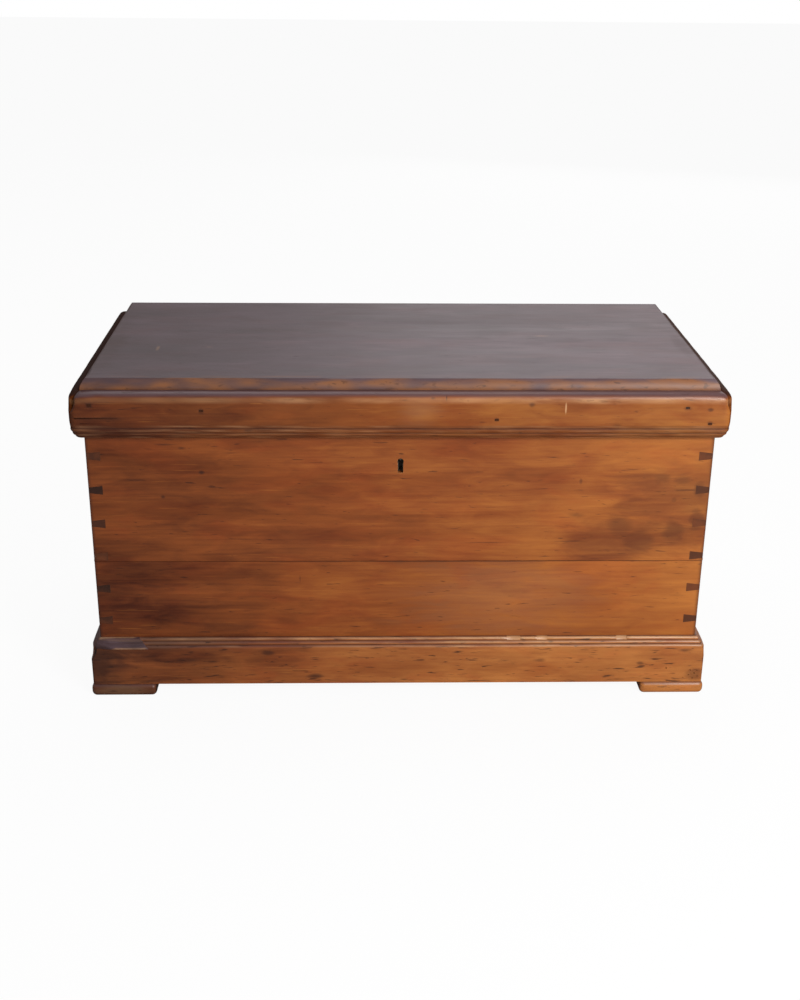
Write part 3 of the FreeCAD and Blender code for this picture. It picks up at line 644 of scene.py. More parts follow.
class Pine(Shader):
    """Old waxed pine, built up in layers of colour."""

    def __init__(self, name, look, grain, shift):
        super().__init__(bpy.data.materials.new(name))
        self.look = look
        self.colours = bpy.context.scene.chest_colours
        self.deep, self.mid, self.light = self.three(look)
        self.place = self.coordinate("Object")
        self.facing = self.coordinate("Normal")
        self.x = self.part(self.place, "X")
        self.grain = axis_way(grain)
        turn = (0.0, 0.0, -math.pi / 2) if grain == "Y" else (0.0, 0.0, 0.0)
        self.wood = self.add("ShaderNodeMapping", {}, {
            "Vector": self.place, "Rotation": turn, "Location": shift})
        self.streak = self.clouds(self.wood, STREAKS, 4.0, 0.6, 0.35)
        self.cloud = self.clouds(self.wood, CLOUDS, 3.0)
        self.mottle = self.clouds(self.wood, MOTTLE, 3.0, 0.58, 0.7)
        self.fibre = self.clouds(self.wood, FIBRES, 3.0, 0.6)

    def three(self, look):
        """The deep, middle and light colour of a look."""
        return [getattr(self.colours, f"{look}_{part}") for part in ("deep", "mid", "light")]

    def lay(self, share, colour, blend="MIX"):
        """Lays a colour over what is there."""
        self.colour = self.mix(share, self.colour, colour, blend)

    def grow(self, heart, contrast, fade, lift, left_shade):
        """Slow streaks, growth rings that wander along the board, mottling and fine fibres."""
        wander = self.clouds(self.wood, WANDER, 3.0)
        ring_place = self.add("ShaderNodeMapping", {}, {
            "Vector": self.wood, "Scale": RING_STRETCH, "Location": (0.0, heart[0], heart[1])})
        radius = self.length(ring_place) + wander * RING_WANDER
        ring = self.add("ShaderNodeMath", {"operation": "SINE"}, {0: radius * RING_PITCH})
        self.late = self.smooth(ring, 0.0, 1.0) * self.smooth(self.streak, 0.35, 0.6)
        figure = (self.streak - 0.5) * 0.55 + (self.cloud - 0.5) * 0.68
        figure = figure + (self.mottle - 0.5) * 0.5 + (self.fibre - 0.5) * 0.2
        # x * fade paints light that grows towards the right, and left_shade paints shade over the left part.
        figure = 0.5 + (figure - self.late * 0.04) * contrast + self.x * fade + lift
        self.figure = figure - self.smooth(self.x, 0.0, -0.5) * left_shade
        self.colour = self.ramp(self.figure, tuple(zip(RAMP_PLACES, (self.deep, self.mid, self.light))))
        flush = self.smooth(self.clouds(self.wood, FLUSHES, 3.0, 0.55, 0.5), 0.42, 0.7)
        self.lay(flush * 0.2, rgba(self.colours.flush), "OVERLAY")
        scratch = self.smooth(self.clouds(self.wood, SCRATCHES, 1.0, 0.5, 0.4), 0.7, 0.76)
        self.lay(scratch * 0.3, rgba(self.light))

    def age(self, upward_light, upward_from, upward_look):
        """Painted light on what faces up: a sky reflection in the given colour, and painted shade where that
        colour is dark.
        """
        upward = self.toward(self.facing, (0.0, 0.0, 1.0))
        upward_share = self.smooth(upward + (self.mottle - 0.5) * 0.5, 0.3, 0.8) * upward_light
        upward_share = upward_share * self.smooth(self.part(self.place, "Z"), upward_from, upward_from + UPWARD_RISE)
        self.lay(upward_share, rgba(getattr(self.colours, upward_look)))

    def soil_and_shade(self, ticks, cracks, marks, corner):
        """Pores, specks, stains and dents, the painted shade held by the marks and the grime attribute, and
        the dark corners of the box.
        """
        dash = self.clouds(self.wood, PORES, 2.0, 0.5, 0.6)
        dash = self.smooth(dash, 0.66 - cracks, 0.75 - cracks)
        speck_place = self.stretched(self.wood, SPECKS)
        speck = self.add("ShaderNodeTexVoronoi", {}, {"Vector": speck_place, "Scale": 1.0}, "Distance")
        speck = self.smooth(speck + (self.mottle - 0.5) * 0.05, 0.05, 0.02)
        dirt = (dash * (0.62 * ticks)).larger(speck * (0.75 * ticks))
        blur = (self.cloud - 0.5) * 1.2 + (self.mottle - 0.5) * 1.6
        stain = self.attribute("grime")
        for middle, reach, strength in marks:
            spot = self.smooth(self.oval(self.place, middle, reach) + blur, 1.2, 0.2)
            if strength > 0:
                stain = stain.larger(spot * strength)
            else:
                self.lay(spot * -strength, rgba(self.colours.rubbed))
        if corner:
            outer = self.x.larger(self.x * -1.0) + (self.mottle - 0.5) * 0.004
            stain = stain.larger(self.smooth(outer, HALF - CORNER_FROM, HALF - CORNER_TO) * corner)
            square = self.add("ShaderNodeVectorMath", {"operation": "ABSOLUTE"}, {0: self.facing})
            sides = [self.part(square, axis) for axis in "XYZ"]
            slant = self.smooth(sides[0].larger(sides[1]).larger(sides[2]), 0.96, 0.8)
            stain = stain.larger(slant * (self.mottle + 0.35))
        self.lay(stain, rgba(self.colours.seam))
        self.lay(dirt, rgba(self.colours.grime))
        self.stain = stain
        self.dirt = dirt.larger(stain)

    def cut_ends(self):
        """End grain, dark with wax, and paler towards the right, which is painted light."""
        along = self.toward(self.facing, self.grain)
        self.across = self.smooth(along * along, 0.5, 0.85)
        wax = self.smooth(self.clouds(self.place, WAX, 2.0), 0.42, 0.6)
        waxed = [0.5 * (low + high) for low, high in zip(self.deep, self.mid)]
        share = wax * 0.55 + (self.mottle - 0.5) * 0.9
        end = self.mix(share, rgba(self.colours.end_grain), rgba(waxed))
        # Painted light: the end grain grows paler towards the right.
        paler = self.smooth(self.x + (self.mottle - 0.5) * 0.4, -0.7, 0.9)
        end = self.mix(paler * 0.34, end, rgba(self.mid))
        if self.look == "bare":
            end = self.mix(0.5, end, self.colour)
        end = self.mix(self.stain * 0.7, end, rgba(self.colours.seam))
        self.lay(self.across, end)

    def leave_bare(self, way):
        """The unfinished inside."""
        bare = self.ramp(self.figure, tuple(zip(RAMP_PLACES, self.three("bare"))))
        bare = self.mix(self.dirt, bare, rgba(self.colours.grime))
        self.lay(self.smooth(self.toward(self.facing, way), 0.4, 0.8), bare)

    def rub_edges_and_highlights(self, rub):
        """Edges worn through the finish, with dark pits; the worn attribute also carries painted highlights
        and painted light.
        """
        worn = self.attribute("worn")
        rubbed = worn * self.smooth(self.mottle + (self.streak - 0.5), 0.05, 0.55)
        self.lay(rubbed, rgba(getattr(self.colours, rub)))
        pits = self.smooth(self.clouds(self.wood, PITS, 2.0, 0.6, 0.4), 0.58, 0.7) * worn
        self.lay(pits * 0.55, rgba(self.colours.seam))

    def polish(self, gloss, shine):
        """The finished surface; a higher gloss value is a duller wax."""
        height = self.streak * 0.5 + self.fibre * 0.35 + self.mottle * 0.3
        height = height - self.late * 0.15 - self.dirt * 0.8
        bump = self.add("ShaderNodeBump", {}, {"Height": height, "Strength": 0.25, "Distance": 0.0006})
        rough = gloss + (self.streak - 0.5) * 0.2 + self.dirt * 0.15 + self.across * 0.15
        return self.show(self.add("ShaderNodeBsdfPrincipled", {}, {
            "Base Color": self.colour, "Roughness": rough, "Normal": bump, "Specular IOR Level": shine}))


def pine(name, look, grain="X", shift=(0.0, 0.0, 0.0), heart=(0.12, 0.05), inside=None, marks=(),
         gloss=0.44, shine=0.36, ticks=1.0, fade=0.0, rub="rubbed", upward_light=0.0, upward_from=0.0, lift=0.0,
         left_shade=0.0, cracks=0.0, corner=0.0, contrast=1.0, upward_look="lid_mid"):
    """Old waxed pine with its grain along an axis.

    look names three colours; shift moves the figure so that no two boards match; heart is where the rings
    centre; inside is an axis and the way along it in which the bare inside faces; marks are stains, dents and
    patches of painted shade as (middle, reach, strength), pale where the strength is below 0; gloss is the
    roughness and shine the strength of the reflection; ticks strengthens the pores; fade makes the wood paler
    towards the right, painted light as from the lamp on the right; rub names the colour of worn edges;
    upward_light turns what faces up above the height upward_from to the colour upward_look, a painted sky
    reflection, and painted shade where that colour is dark; lift makes all of it paler, and darker below 0,
    left_shade paints shade over its left part, cracks adds short dark checks, corner darkens the box's outer
    corners and the slant edges of its joints, and contrast strengthens the figure.
    """
    wood = Pine(name, look, grain, shift)
    wood.grow(heart, contrast, fade, lift, left_shade)
    if upward_light:
        wood.age(upward_light, upward_from, upward_look)
    wood.soil_and_shade(ticks, cracks, marks, corner)
    wood.cut_ends()
    if inside:
        wood.leave_bare(axis_way(*inside))
    wood.rub_edges_and_highlights(rub)
    return wood.polish(gloss, shine)


# Grit on old metal, in cycles a metre, and the colour of its pits
METAL_PATCHES = (70, 70, 70)
METAL_GRIT = (900, 900, 900)
METAL_PITS = (24, 18, 14)


def old_metal(name, base, stain, rough, metallic, pits):
    """Metal gone dull, with a stain that spreads in patches."""
    shader = Shader(bpy.data.materials.new(name))
    place = shader.coordinate("Object")
    patch = shader.clouds(place, METAL_PATCHES, 4.0, 0.6)
    grit = shader.clouds(place, METAL_GRIT, 2.0)
    spread_share = shader.smooth(patch + (grit - 0.5) * 0.3, 0.42, 0.62)
    colour = shader.mix(spread_share, rgba(base), rgba(stain))
    colour = shader.mix(shader.smooth(grit, 0.5, 0.75) * pits, colour, rgba(tone(*METAL_PITS)))
    bump = shader.add("ShaderNodeBump", {}, {
        "Height": grit * 0.6 + patch, "Strength": 0.3, "Distance": 0.0003})
    return shader.show(shader.add("ShaderNodeBsdfPrincipled", {}, {
        "Base Color": colour, "Roughness": rough + (patch - 0.5) * 0.3,
        "Metallic": metallic - spread_share * 0.6, "Normal": bump}))


# Pieces

def upright_marks(y, depth, rows):
    """Stains and dents on an upright face, from rows of x, z, reach in x, reach in z and strength."""
    return tuple(((x, y, z), (wide, depth, high), strength) for x, z, wide, high, strength in rows)


def level_marks(z, depth, rows):
    """Stains and dents on a level face, from rows of x, y, reach in x, reach in y and strength."""
    return tuple(((x, y, z), (wide, deep, depth), strength) for x, y, wide, deep, strength in rows)


# The boards of the box: grain, shift of the figure, heart of the rings and the way their inside faces
BOARDS = {
    "front_upper_board": ("X", (0.31, 0.10, 0.43), (0.18, -0.62), ("Y", 1)),
    "front_lower_board": ("X", (1.74, 0.33, 0.11), (-0.10, -0.20), ("Y", 1)),
    "back_upper_board": ("X", (2.90, 0.71, 0.50), (-0.85, -0.70), ("Y", -1)),
    "back_lower_board": ("X", (4.10, 0.22, 0.90), (-0.35, -1.05), ("Y", -1)),
    "left_end_upper_board": ("Y", (5.20, 0.40, 0.20), (-0.80, -0.55), ("X", 1)),
    "left_end_lower_board": ("Y", (6.30, 0.90, 0.70), (-1.30, -0.80), ("X", 1)),
    "right_end_upper_board": ("Y", (7.40, 0.15, 0.35), (0.40, -0.75), ("X", -1)),
    "right_end_lower_board": ("Y", (8.50, 0.60, 0.05), (0.05, -0.20), ("X", -1)),
}

# Stains and dents on the front of the box, as rows of upright_marks; the end boards show their pins there
FRONT_MARKS = {
    "front_upper_board": (
        (-0.3645, 0.434, 0.02, 0.0022, 0.55),
        (-0.3388, 0.4285, 0.009, 0.003, 0.6),
        (-0.3106, 0.388, 0.005, 0.0042, 0.8),
        (-0.3725, 0.347, 0.0038, 0.003, 0.65),
        (-0.4142, 0.3756, 0.018, 0.0016, 0.45),
        (-0.2653, 0.4203, 0.02, 0.002, 0.35),
        (0.15, 0.2355, 0.38, 0.0015, 0.55),
        (0.4132, 0.3784, 0.022, 0.015, 0.42),
        (0.4424, 0.375, 0.026, 0.017, 0.45),
        (0.47, 0.36, 0.015, 0.02, 0.5),
        (0.4322, 0.341, 0.008, 0.007, 0.45),
        (0.47, 0.312, 0.016, 0.03, 0.5),
        (0.3493, 0.2981, 0.028, 0.026, 0.4),
        (0.2764, 0.3155, 0.02, 0.006, 0.4),
        (0.3827, 0.2707, 0.03, 0.024, 0.42),
        (0.4347, 0.29, 0.024, 0.028, 0.5),
        (0.2825, 0.3734, 0.003, 0.006, 0.45),
        (0.265, 0.27, 0.04, 0.0014, 0.6),
        (0.13, 0.268, 0.055, 0.0012, 0.5),
        (0.4561, 0.358, 0.032, 0.002, 0.6),
        (0.44, 0.34, 0.11, 0.1, 0.28),
        (0.32, 0.27, 0.08, 0.04, 0.24),
    ),
    "front_lower_board": (
        (0.15, 0.2355, 0.38, 0.0015, 0.55),
        (-0.161, 0.2062, 0.0014, 0.01, 0.65),
        (-0.35, 0.156, 0.09, 0.02, 0.05),
        (-0.27, 0.12, 0.08, 0.01, 0.22),
        (0.16, 0.17, 0.18, 0.08, -0.09),
    ),
    "left_end_upper_board": (
        (-0.475, 0.3, 0.04, 0.2, 0.6),
    ),
    "left_end_lower_board": (
        (-0.475, 0.15, 0.04, 0.1, 0.65),
    ),
}

# The depth of a mark on the front, and in the ends of the boards that show there
MARK_DEPTH = 0.02
PIN_MARK_DEPTH = 0.006

# How much paler the boards are towards the right, a painted light as from the lamp on the right, and how dark
# their corners
UPPER_FADE = 0.44
LOWER_FADE = 0.5
DARK_CORNER = 0.55

# The keyhole: its middle, the worn slot's width, the heights between which its edge lies, the slot's own
# heights, the rounding of the slot's corners and of its lip, and how far the mouth and the lip reach
KEY_X = sum(corner.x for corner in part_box("lock_drill_pin")) / 2
KEY_SLOT = 0.0086
KEY_Z = (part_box("lock_drill_pin")[0].z - 0.020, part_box("lock_drill_pin")[1].z + 0.008)
KEY_SLOT_Z = (KEY_Z[0] + 0.0026, KEY_Z[0] + 0.0225)
KEY_ROUND = 0.002
KEY_LIP = 0.0017
KEY_MOUTH = 0.008
KEY_NEAR = 0.001


def is_corner(edge):
    """An upright edge on one of the box's four outer corners."""
    return all(
        abs(abs(vertex.co.x) - HALF) < SAME
        and min(abs(vertex.co.y - FRONT), abs(vertex.co.y - BACK)) < SAME
        for vertex in edge.verts)


class CHEST_OT_carcass(bpy.types.Operator):
    """Makes the eight dovetailed boards of the box"""

    bl_idname = "chest.carcass"
    bl_label = "Carcass Boards"

    def execute(self, context):
        wear = context.scene.chest_wear
        for node, (grain, shift, heart, inside) in BOARDS.items():
            piece = copy_node(node, f"worn_{node}")
            bevel_edges(piece, lambda e: is_long(e, 0.4) and is_corner(e), wear.arris, 3)
            bevel_edges(piece, lambda e: is_long(e, 0.9), wear.joint_edge, 1)
            if node == "front_upper_board":
                self.wear_keyhole(piece)
            depth = PIN_MARK_DEPTH if "end" in node else MARK_DEPTH
            marks = upright_marks(FRONT, depth, FRONT_MARKS.get(node, ()))
            fade = LOWER_FADE if "lower" in node else UPPER_FADE
            wood = pine(
                f"pine_{node}", "carcass", grain, shift, heart, inside, marks, fade=fade, corner=DARK_CORNER)
            dress(piece, node, wood, False)
        return {"FINISHED"}

    @staticmethod
    def wear_keyhole(piece):
        """Widens the keyhole's slot, and rounds and rubs its edge in the front."""
        low, high = KEY_Z

        def on_mouth(place):
            return abs(place.y - FRONT) < SAME and abs(place.x - KEY_X) < KEY_MOUTH and low < place.z < high

        def on_lip(place):
            beside = abs(place.x - KEY_X) < KEY_MOUTH + KEY_NEAR
            return beside and low - KEY_NEAR < place.z < high + KEY_NEAR and place.y < FRONT + 2 * KEY_NEAR

        slot = block(
            "slot", (KEY_X - KEY_SLOT / 2, FRONT - 0.01, KEY_SLOT_Z[0]),
            (KEY_X + KEY_SLOT / 2, INNER_FRONT + 0.002, KEY_SLOT_Z[1]))
        bevel_edges(slot, lambda e: abs(e.verts[0].co.y - e.verts[1].co.y) > 0.01, KEY_ROUND, 3)
        carve(piece, [slot])
        bevel_edges(piece, lambda e: is_sharp(e) and all(on_mouth(v.co) for v in e.verts), KEY_LIP, 2)
        worn = piece.data.attributes.new("worn", "FLOAT", "FACE")
        for face in piece.data.polygons:
            near = all(on_lip(piece.data.vertices[index].co) for index in face.vertices)
            place = face.center
            worn.data[face.index].value = near * (1.6 + 0.8 * ripple(place.x * 300, place.z * 300, 1.0))


BOTTOM_BOARDS = 5


class CHEST_OT_bottom(bpy.types.Operator):
    """Makes the five tongued boards of the bottom"""

    bl_idname = "chest.bottom"
    bl_label = "Bottom Boards"

    def execute(self, context):
        wear = context.scene.chest_wear
        for index in range(1, BOTTOM_BOARDS + 1):
            node = f"bottom_board_{index}"
            piece = copy_node(node, f"worn_{node}")
            bevel_edges(piece, lambda e: is_long(e, 0.4), wear.joint_edge, 1)
            shift = (index * 1.7, index * 0.31, index * 0.17)
            heart = (0.1 - index * 0.31, -0.08 - index * 0.17)
            dress(piece, node, pine(f"pine_{node}", "bare", "Y", shift, heart), False)
        return {"FINISHED"}


# The rails under the lid's top: grain, shift of the figure and the way their inside faces
LID_RAILS = {
    "lid_front_rail": ("X", (0.9, 0.3, 0.6), ("Y", 1)),
    "lid_back_rail": ("X", (2.2, 0.6, 0.3), ("Y", -1)),
    "lid_left_rail": ("Y", (3.3, 0.2, 0.8), ("X", 1)),
    "lid_right_rail": ("Y", (4.6, 0.8, 0.1), ("X", -1)),
}


class CHEST_OT_lid_rails(bpy.types.Operator):
    """Makes the four dovetailed rails under the lid's top"""

    bl_idname = "chest.lid_rails"
    bl_label = "Lid Rails"

    def execute(self, context):
        wear = context.scene.chest_wear
        for node, (grain, shift, inside) in LID_RAILS.items():
            piece = copy_node(node, f"worn_{node}")
            bevel_edges(piece, lambda e: is_long(e, 0.6), wear.joint_edge, 1)
            wood = pine(f"pine_{node}", "carcass", grain, shift, (0.05, -0.3), inside)
            dress(piece, node, wood, False)
        return {"FINISHED"}


# Stains and dents on the lid's top; the first, broad one darkens its back half, which is painted shade
LID_MARKS = (
    *level_marks(0.539, 0.10, (
        (0.25, 0.2, 0.45, 0.2, 0.14),
    )),
    *level_marks(0.539, 0.02, (
        (0.424, 0.0963, 0.035, 0.045, 0.16),
        (0.4684, -0.0308, 0.012, 0.08, 0.22),
        (0.319, -0.0794, 0.03, 0.003, 0.3),
        (0.2418, 0.023, 0.016, 0.004, -0.22),
        (0.225, 0.008, 0.012, 0.003, 0.3),
        (-0.3926, -0.0553, 0.003, 0.014, -0.16),
        (-0.3107, -0.0487, 0.007, 0.003, -0.14),
        (-0.346, -0.1457, 0.006, 0.003, 0.35),
        (-0.47, -0.03, 0.025, 0.24, 0.3),
    )),
)

# Steps up the quarter round, the band in which it is drawn in, the ragged band of wear behind it on the top
# and the loops that hold that band, from the front edge
OVOLO_STEPS = 7
OVOLO_BAND = 0.004
RAGGED_BAND = 0.0225
RAGGED_LOOPS = (0.0145, 0.0190)

# Loops over the lid's top: how far in from its ends, and the steps along it and back over it
LID_INSET = 0.003
LID_STEP_X = 0.008
LID_STEP_Y = 0.02


def is_seam(edge, y, z):
    """An edge along the upper arris of the joint between the lid's two boards."""
    return all(abs(v.co.y - y) < STRICT and abs(v.co.z - z) < STRICT for v in edge.verts)


class CHEST_OT_lid_top(bpy.types.Operator):
    """Makes the two boards of the lid's top, with a worn quarter round on three edges"""

    bl_idname = "chest.lid_top"
    bl_label = "Lid Top"

    def execute(self, context):
        wear = context.scene.chest_wear
        for index, node in enumerate(("lid_top_front_board", "lid_top_back_board")):
            low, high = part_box(node)
            piece = block(f"worn_{node}", low, high)
            rises = [1 - step / OVOLO_STEPS for step in range(OVOLO_STEPS)]
            slice_at(piece, "Z", [high.z - wear.ovolo_rise * rise for rise in rises])
            slice_at(piece, "X", spread(low.x + LID_INSET, high.x - LID_INSET, LID_STEP_X))
            slice_at(piece, "Y", [low.y + loop for loop in RAGGED_LOOPS])
            slice_at(piece, "Y", spread(low.y + LID_INSET, high.y - LID_INSET, LID_STEP_Y))
            self.round_over(piece, high.z, wear)
            seam = low.y if index else high.y
            bevel_edges(piece, lambda e: is_seam(e, seam, high.z), wear.joint_edge, 1)
            shift = (0.6 + index * 2.3, index * 0.4, 0.2)
            heart = (0.07 - index * 0.75, -0.50)
            # fade paints light towards the right, and the marks hold a painted shade over the lid's back.
            wood = pine(
                f"pine_{node}", "lid", "X", shift, heart, ("Z", -1), LID_MARKS, gloss=0.48, shine=0.5,
                ticks=0.6, fade=0.3, rub="lid_edge", contrast=0.65)
            dress(piece, node, wood, True)
        return {"FINISHED"}

    @staticmethod
    def round_over(piece, top, wear):
        """Draws the upper edge in to a quarter round on the front and the sides, and nibbles its arris."""
        start = top - wear.ovolo_rise
        worn = piece.data.attributes.new("worn", "FLOAT", "POINT")
        grime = piece.data.attributes.new("grime", "FLOAT", "POINT")
        for vertex in piece.data.vertices:
            place = vertex.co.copy()
            inset = min(place.y - LID_FRONT, LID_HALF - abs(place.x))
            if place.z < start - STRICT or inset > RAGGED_BAND:
                continue
            if inset > OVOLO_BAND:
                fade = 1 - inset / RAGGED_BAND
                patch = 0.35 + 1.3 * ripple(place.x * 30, place.y * 50, 5.2)
                if place.y - LID_FRONT < RAGGED_BAND and place.z > top - STRICT:
                    worn.data[vertex.index].value = min(1, max(0, patch * fade))
                continue
            share = (place.z - start) / wear.ovolo_rise
            draw = wear.ovolo_run * share - 4 * wear.ovolo_bulge * share * (1 - share) * 0.9
            loss = max(0, ripple(place.x * 28, place.y * 28, 3.1)) * wear.nibble * share
            shift = max(0, draw) + loss
            if abs(place.y - LID_FRONT) < OVOLO_BAND:
                vertex.co.y += shift
            if LID_HALF - abs(place.x) < OVOLO_BAND:
                vertex.co.x -= math.copysign(shift, place.x)
            if share > 0.99:
                vertex.co.z -= loss * 0.5 * (1 - inset / OVOLO_BAND)
            if inset < STRICT:
                # Along the front the rubbing grows and the dark line where the ledge meets it shrinks towards
                # the right: painted light over real wear and a dark joint.
                rub = 0.82 + 0.7 * place.x + 0.9 * ripple(place.x * 26, place.y * 26, 8.4 + share * 1.5)
                rub *= min(1, max(0, 4 * (1.12 + 0.6 * ripple(place.x * 13, 2.6, 7.7) - share)))
                line = 0.8 - 0.9 * max(0, place.x) + 0.4 * ripple(place.x * 22, 1.7, 0.3) - share * 6
                line = max(line, -0.5 * place.x)
                if place.y - LID_FRONT > OVOLO_BAND:
                    rub = 0.0
                    line = 0.75 + 0.2 * ripple(place.y * 30, 4.4, share)
                worn.data[vertex.index].value = min(1, max(0, rub))
                grime.data[vertex.index].value = max(0, line)


# Play round a nail in its hole
NAIL_PLAY = 0.0005


def nail_pits(nails, low, high):
    """Square cutters round the heads of the nails that lie between two corners."""
    piece = copy_node(nails, "nail_shapes")
    edit(piece)
    bpy.ops.mesh.separate(type="LOOSE")
    leave_edit()
    parts = list(bpy.context.selected_objects)
    boxes = [(Vector(part.bound_box[0]), Vector(part.bound_box[6])) for part in parts]
    for part in parts:
        bpy.data.objects.remove(part)
    play = Vector((NAIL_PLAY, NAIL_PLAY, NAIL_PLAY))
    cutters = []
    for nail_low, nail_high in boxes:
        middle = (nail_low + nail_high) / 2
        if all(low[i] <= middle[i] <= high[i] for i in range(3)):
            cutters.append(block("pit", nail_low - play, nail_high + play))
    return cutters


# Drying splits near the left end of the front rim: left, right, height and half their width
RIM_SPLITS = (
    (-0.497, -0.43, 0.4828, 0.0008),
    (-0.488, -0.466, 0.4742, 0.0006),
)

# Stains and dents on the front rim
RIM_MARKS = (
    *upright_marks(-0.2455, 0.03, (
        (-0.46, 0.4828, 0.045, 0.003, 0.55),
        (-0.473, 0.5036, 0.006, 0.005, 0.55),
        (-0.3045, 0.495, 0.0055, 0.0055, 0.55),
        (-0.2362, 0.463, 0.01, 0.006, 0.55),
        (0.1445, 0.4809, 0.005, 0.0045, 0.55),
        (0.1969, 0.505, 0.006, 0.005, 0.6),
        (0.436, 0.5004, 0.008, 0.0045, 0.5),
        (0.4716, 0.4972, 0.005, 0.0035, 0.6),
        (0.4723, 0.4746, 0.005, 0.005, 0.55),
        (0.3293, 0.4697, 0.009, 0.006, 0.4),
        (0.2492, 0.4985, 0.0013, 0.0095, -0.7),
        (0.028, 0.498, 0.042, 0.03, -0.12),
    )),
    *upright_marks(-0.2440, 0.03, (
        (0.067, 0.515, 0.0014, 0.0055, 0.8),
    )),
    *upright_marks(-0.2400, 0.03, (
        (0.05, 0.454, 0.012, 0.004, 0.6),
    )),
)

# Where the noise of each run starts, and how the front and the sides of the rim are finished; the sides are
# darkened all over and on what faces up, which is painted shade
RIM_NOISE = {"front": 0.0, "left": 11.0, "right": 23.0}
RIM_FRONT_LOOK = {"marks": RIM_MARKS, "gloss": 0.38, "shine": 0.3806}
RIM_SIDE_SHADED_LOOK = {"grain": "Y", "gloss": 0.6, "shine": 0.022, "lift": -0.4, "upward_look": "lid_deep"}

# Steps round the sections of the mouldings
RIM_FLAT_STEP = 0.0055
RIM_ARC_STEPS = 6
PLINTH_FLAT_STEP = 0.008
PLINTH_ARC_STEPS = 7


class CHEST_OT_lid_rim(bpy.types.Operator):
    """Makes the moulded rim on three sides of the lid"""

    bl_idname = "chest.lid_rim"
    bl_label = "Lid Rim"

    def execute(self, context):
        settings = context.scene.chest_wear
        low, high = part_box("rim_front")
        thick = LID_FRONT - low.y
        tall = high.z - low.z
        corners = [(out * thick, low.z + up * tall, swell * thick) for out, up, swell in RIM_SHARES]
        section = outline(corners, RIM_FLAT_STEP, RIM_ARC_STEPS)

        def wear(run, along, out, up, groove, crest):
            key = RIM_NOISE[run]
            share = (up - low.z) / tall
            dirt = groove * (0.85 + 0.3 * ripple(along * 40, key, share * 7))
            if share < 0.30:
                loss = 0.3 * max(0, ripple(along * 18, key, 4.0))
                bare = max(0, crest * (0.06 + 0.3 * ripple(along * 26, key + 2, share * 40)))
                # The reeds under the rim face down and are darkened, on the front more towards the right:
                # painted shade.
                reed_shade = 0.26 + 0.18 * along if run == "front" else 0.34
                return loss, bare, max(dirt, reed_shade)
            bare = 0.0
            # A pale line along the shoulder's arris, stronger towards the right, laid on as worn wood: a
            # painted highlight.
            if 0.80 < share < 0.90 and out > 0.9:
                bare = (0.35 + 0.5 * ripple(along * 15, key + 5, 2.0)) * (0.7 + 0.8 * along)
            # A dark line where the ledge meets the lid: a dark joint, which on the front fades towards the
            # right, painted shade on the left.
            if out < 0.02 and share > 0.9:
                dirt = 0.8 if run != "front" else max(0, 0.7 - 0.9 * max(0, along))
            return 0.2 * max(0, ripple(along * 24, key, share * 5)), max(0, bare), dirt

        for index, run in enumerate(RUNS):
            node = f"rim_{run}"
            node_low, node_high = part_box(node)
            piece = moulding(
                f"worn_{node}", run, section, (LID_FRONT, LID_HALF), node_high.y, settings.rim_corner,
                wear, (settings.left_fall, settings.right_fall))
            carve(piece, nail_pits("rim_nails", node_low, node_high))
            if run == "front":
                self.split(piece, low.y)
            look = RIM_FRONT_LOOK if run == "front" else RIM_SIDE_SHADED_LOOK
            # fade and left_shade paint light from the right and shade on the left; upward_light paints a sky
            # reflection on the front's upper faces and shade on the sides'.
            wood = pine(
                f"pine_{node}", "rim", shift=(index * 3.1 + 0.4, 0.5, 0.15 * index), heart=(0.1, -0.42),
                fade=0.34, upward_light=0.85, upward_from=0.5, left_shade=0.16, **look)
            dress(piece, node, wood, True)
        return {"FINISHED"}

    @staticmethod
    def split(piece, face):
        """Two drying splits near the left end of the front rim."""
        for left, right, height, width in RIM_SPLITS:
            middle = (left + right) / 2
            cutter = block(
                "split", (left, face - 0.002, height - width), (right, face + 0.003, height + width))
            edit(cutter)
            choose(cutter, "verts", lambda v: v.co.x > middle)
            bpy.ops.transform.resize(value=(1, 1, 0.15), center_override=(middle, face, height))
            leave_edit()
            carve(piece, [cutter])


# How far the let-in length's right end leans
SCARF_LEAN = 0.016

# Chips in the reeds: middle, half their length and depth
PLINTH_CHIPS = (
    (0.187, 0.01, 0.6),
    (0.234, 0.008, 0.4),
    (0.365, 0.008, 0.8),
)

# Beetle holes: x, z and radius
WORM_HOLES = (
    (0.4812, 0.043, 0.0011),
    (0.4883, 0.0373, 0.0012),
    (0.4939, 0.0316, 0.001),
    (0.4859, 0.0279, 0.0011),
    (0.4925, 0.0425, 0.0009),
    (0.479, 0.0345, 0.0009),
    (0.4409, 0.047, 0.0013),
    (0.4705, 0.029, 0.0009),
)

# Stains and dents on the front plinth and on the let-in length, with a painted shade on the plinth's rounded
# right corner
PLINTH_MARKS = (
    *upright_marks(-0.2413, 0.03, (
        (-0.5, 0.055, 0.09, 0.12, 0.78),
        (-0.1372, 0.035, 0.015, 0.005, 0.75),
        (-0.2148, 0.0781, 0.01, 0.004, 0.65),
        (-0.3487, 0.0658, 0.02, 0.004, 0.45),
        (-0.41, 0.027, 0.04, 0.0045, 0.55),
        (0.2311, 0.063, 0.012, 0.004, 0.45),
        (0.3969, 0.0566, 0.007, 0.004, 0.55),
        (0.4712, 0.0805, 0.014, 0.004, 0.5),
        (0.488, 0.035, 0.016, 0.013, 0.4),
        # Painted shade on the rounded right corner.
        (0.5035, 0.055, 0.0035, 0.05, 0.6),
    )),
    *upright_marks(-0.2360, 0.03, (
        (-0.37, 0.0985, 0.11, 0.011, -0.13),
    )),
)
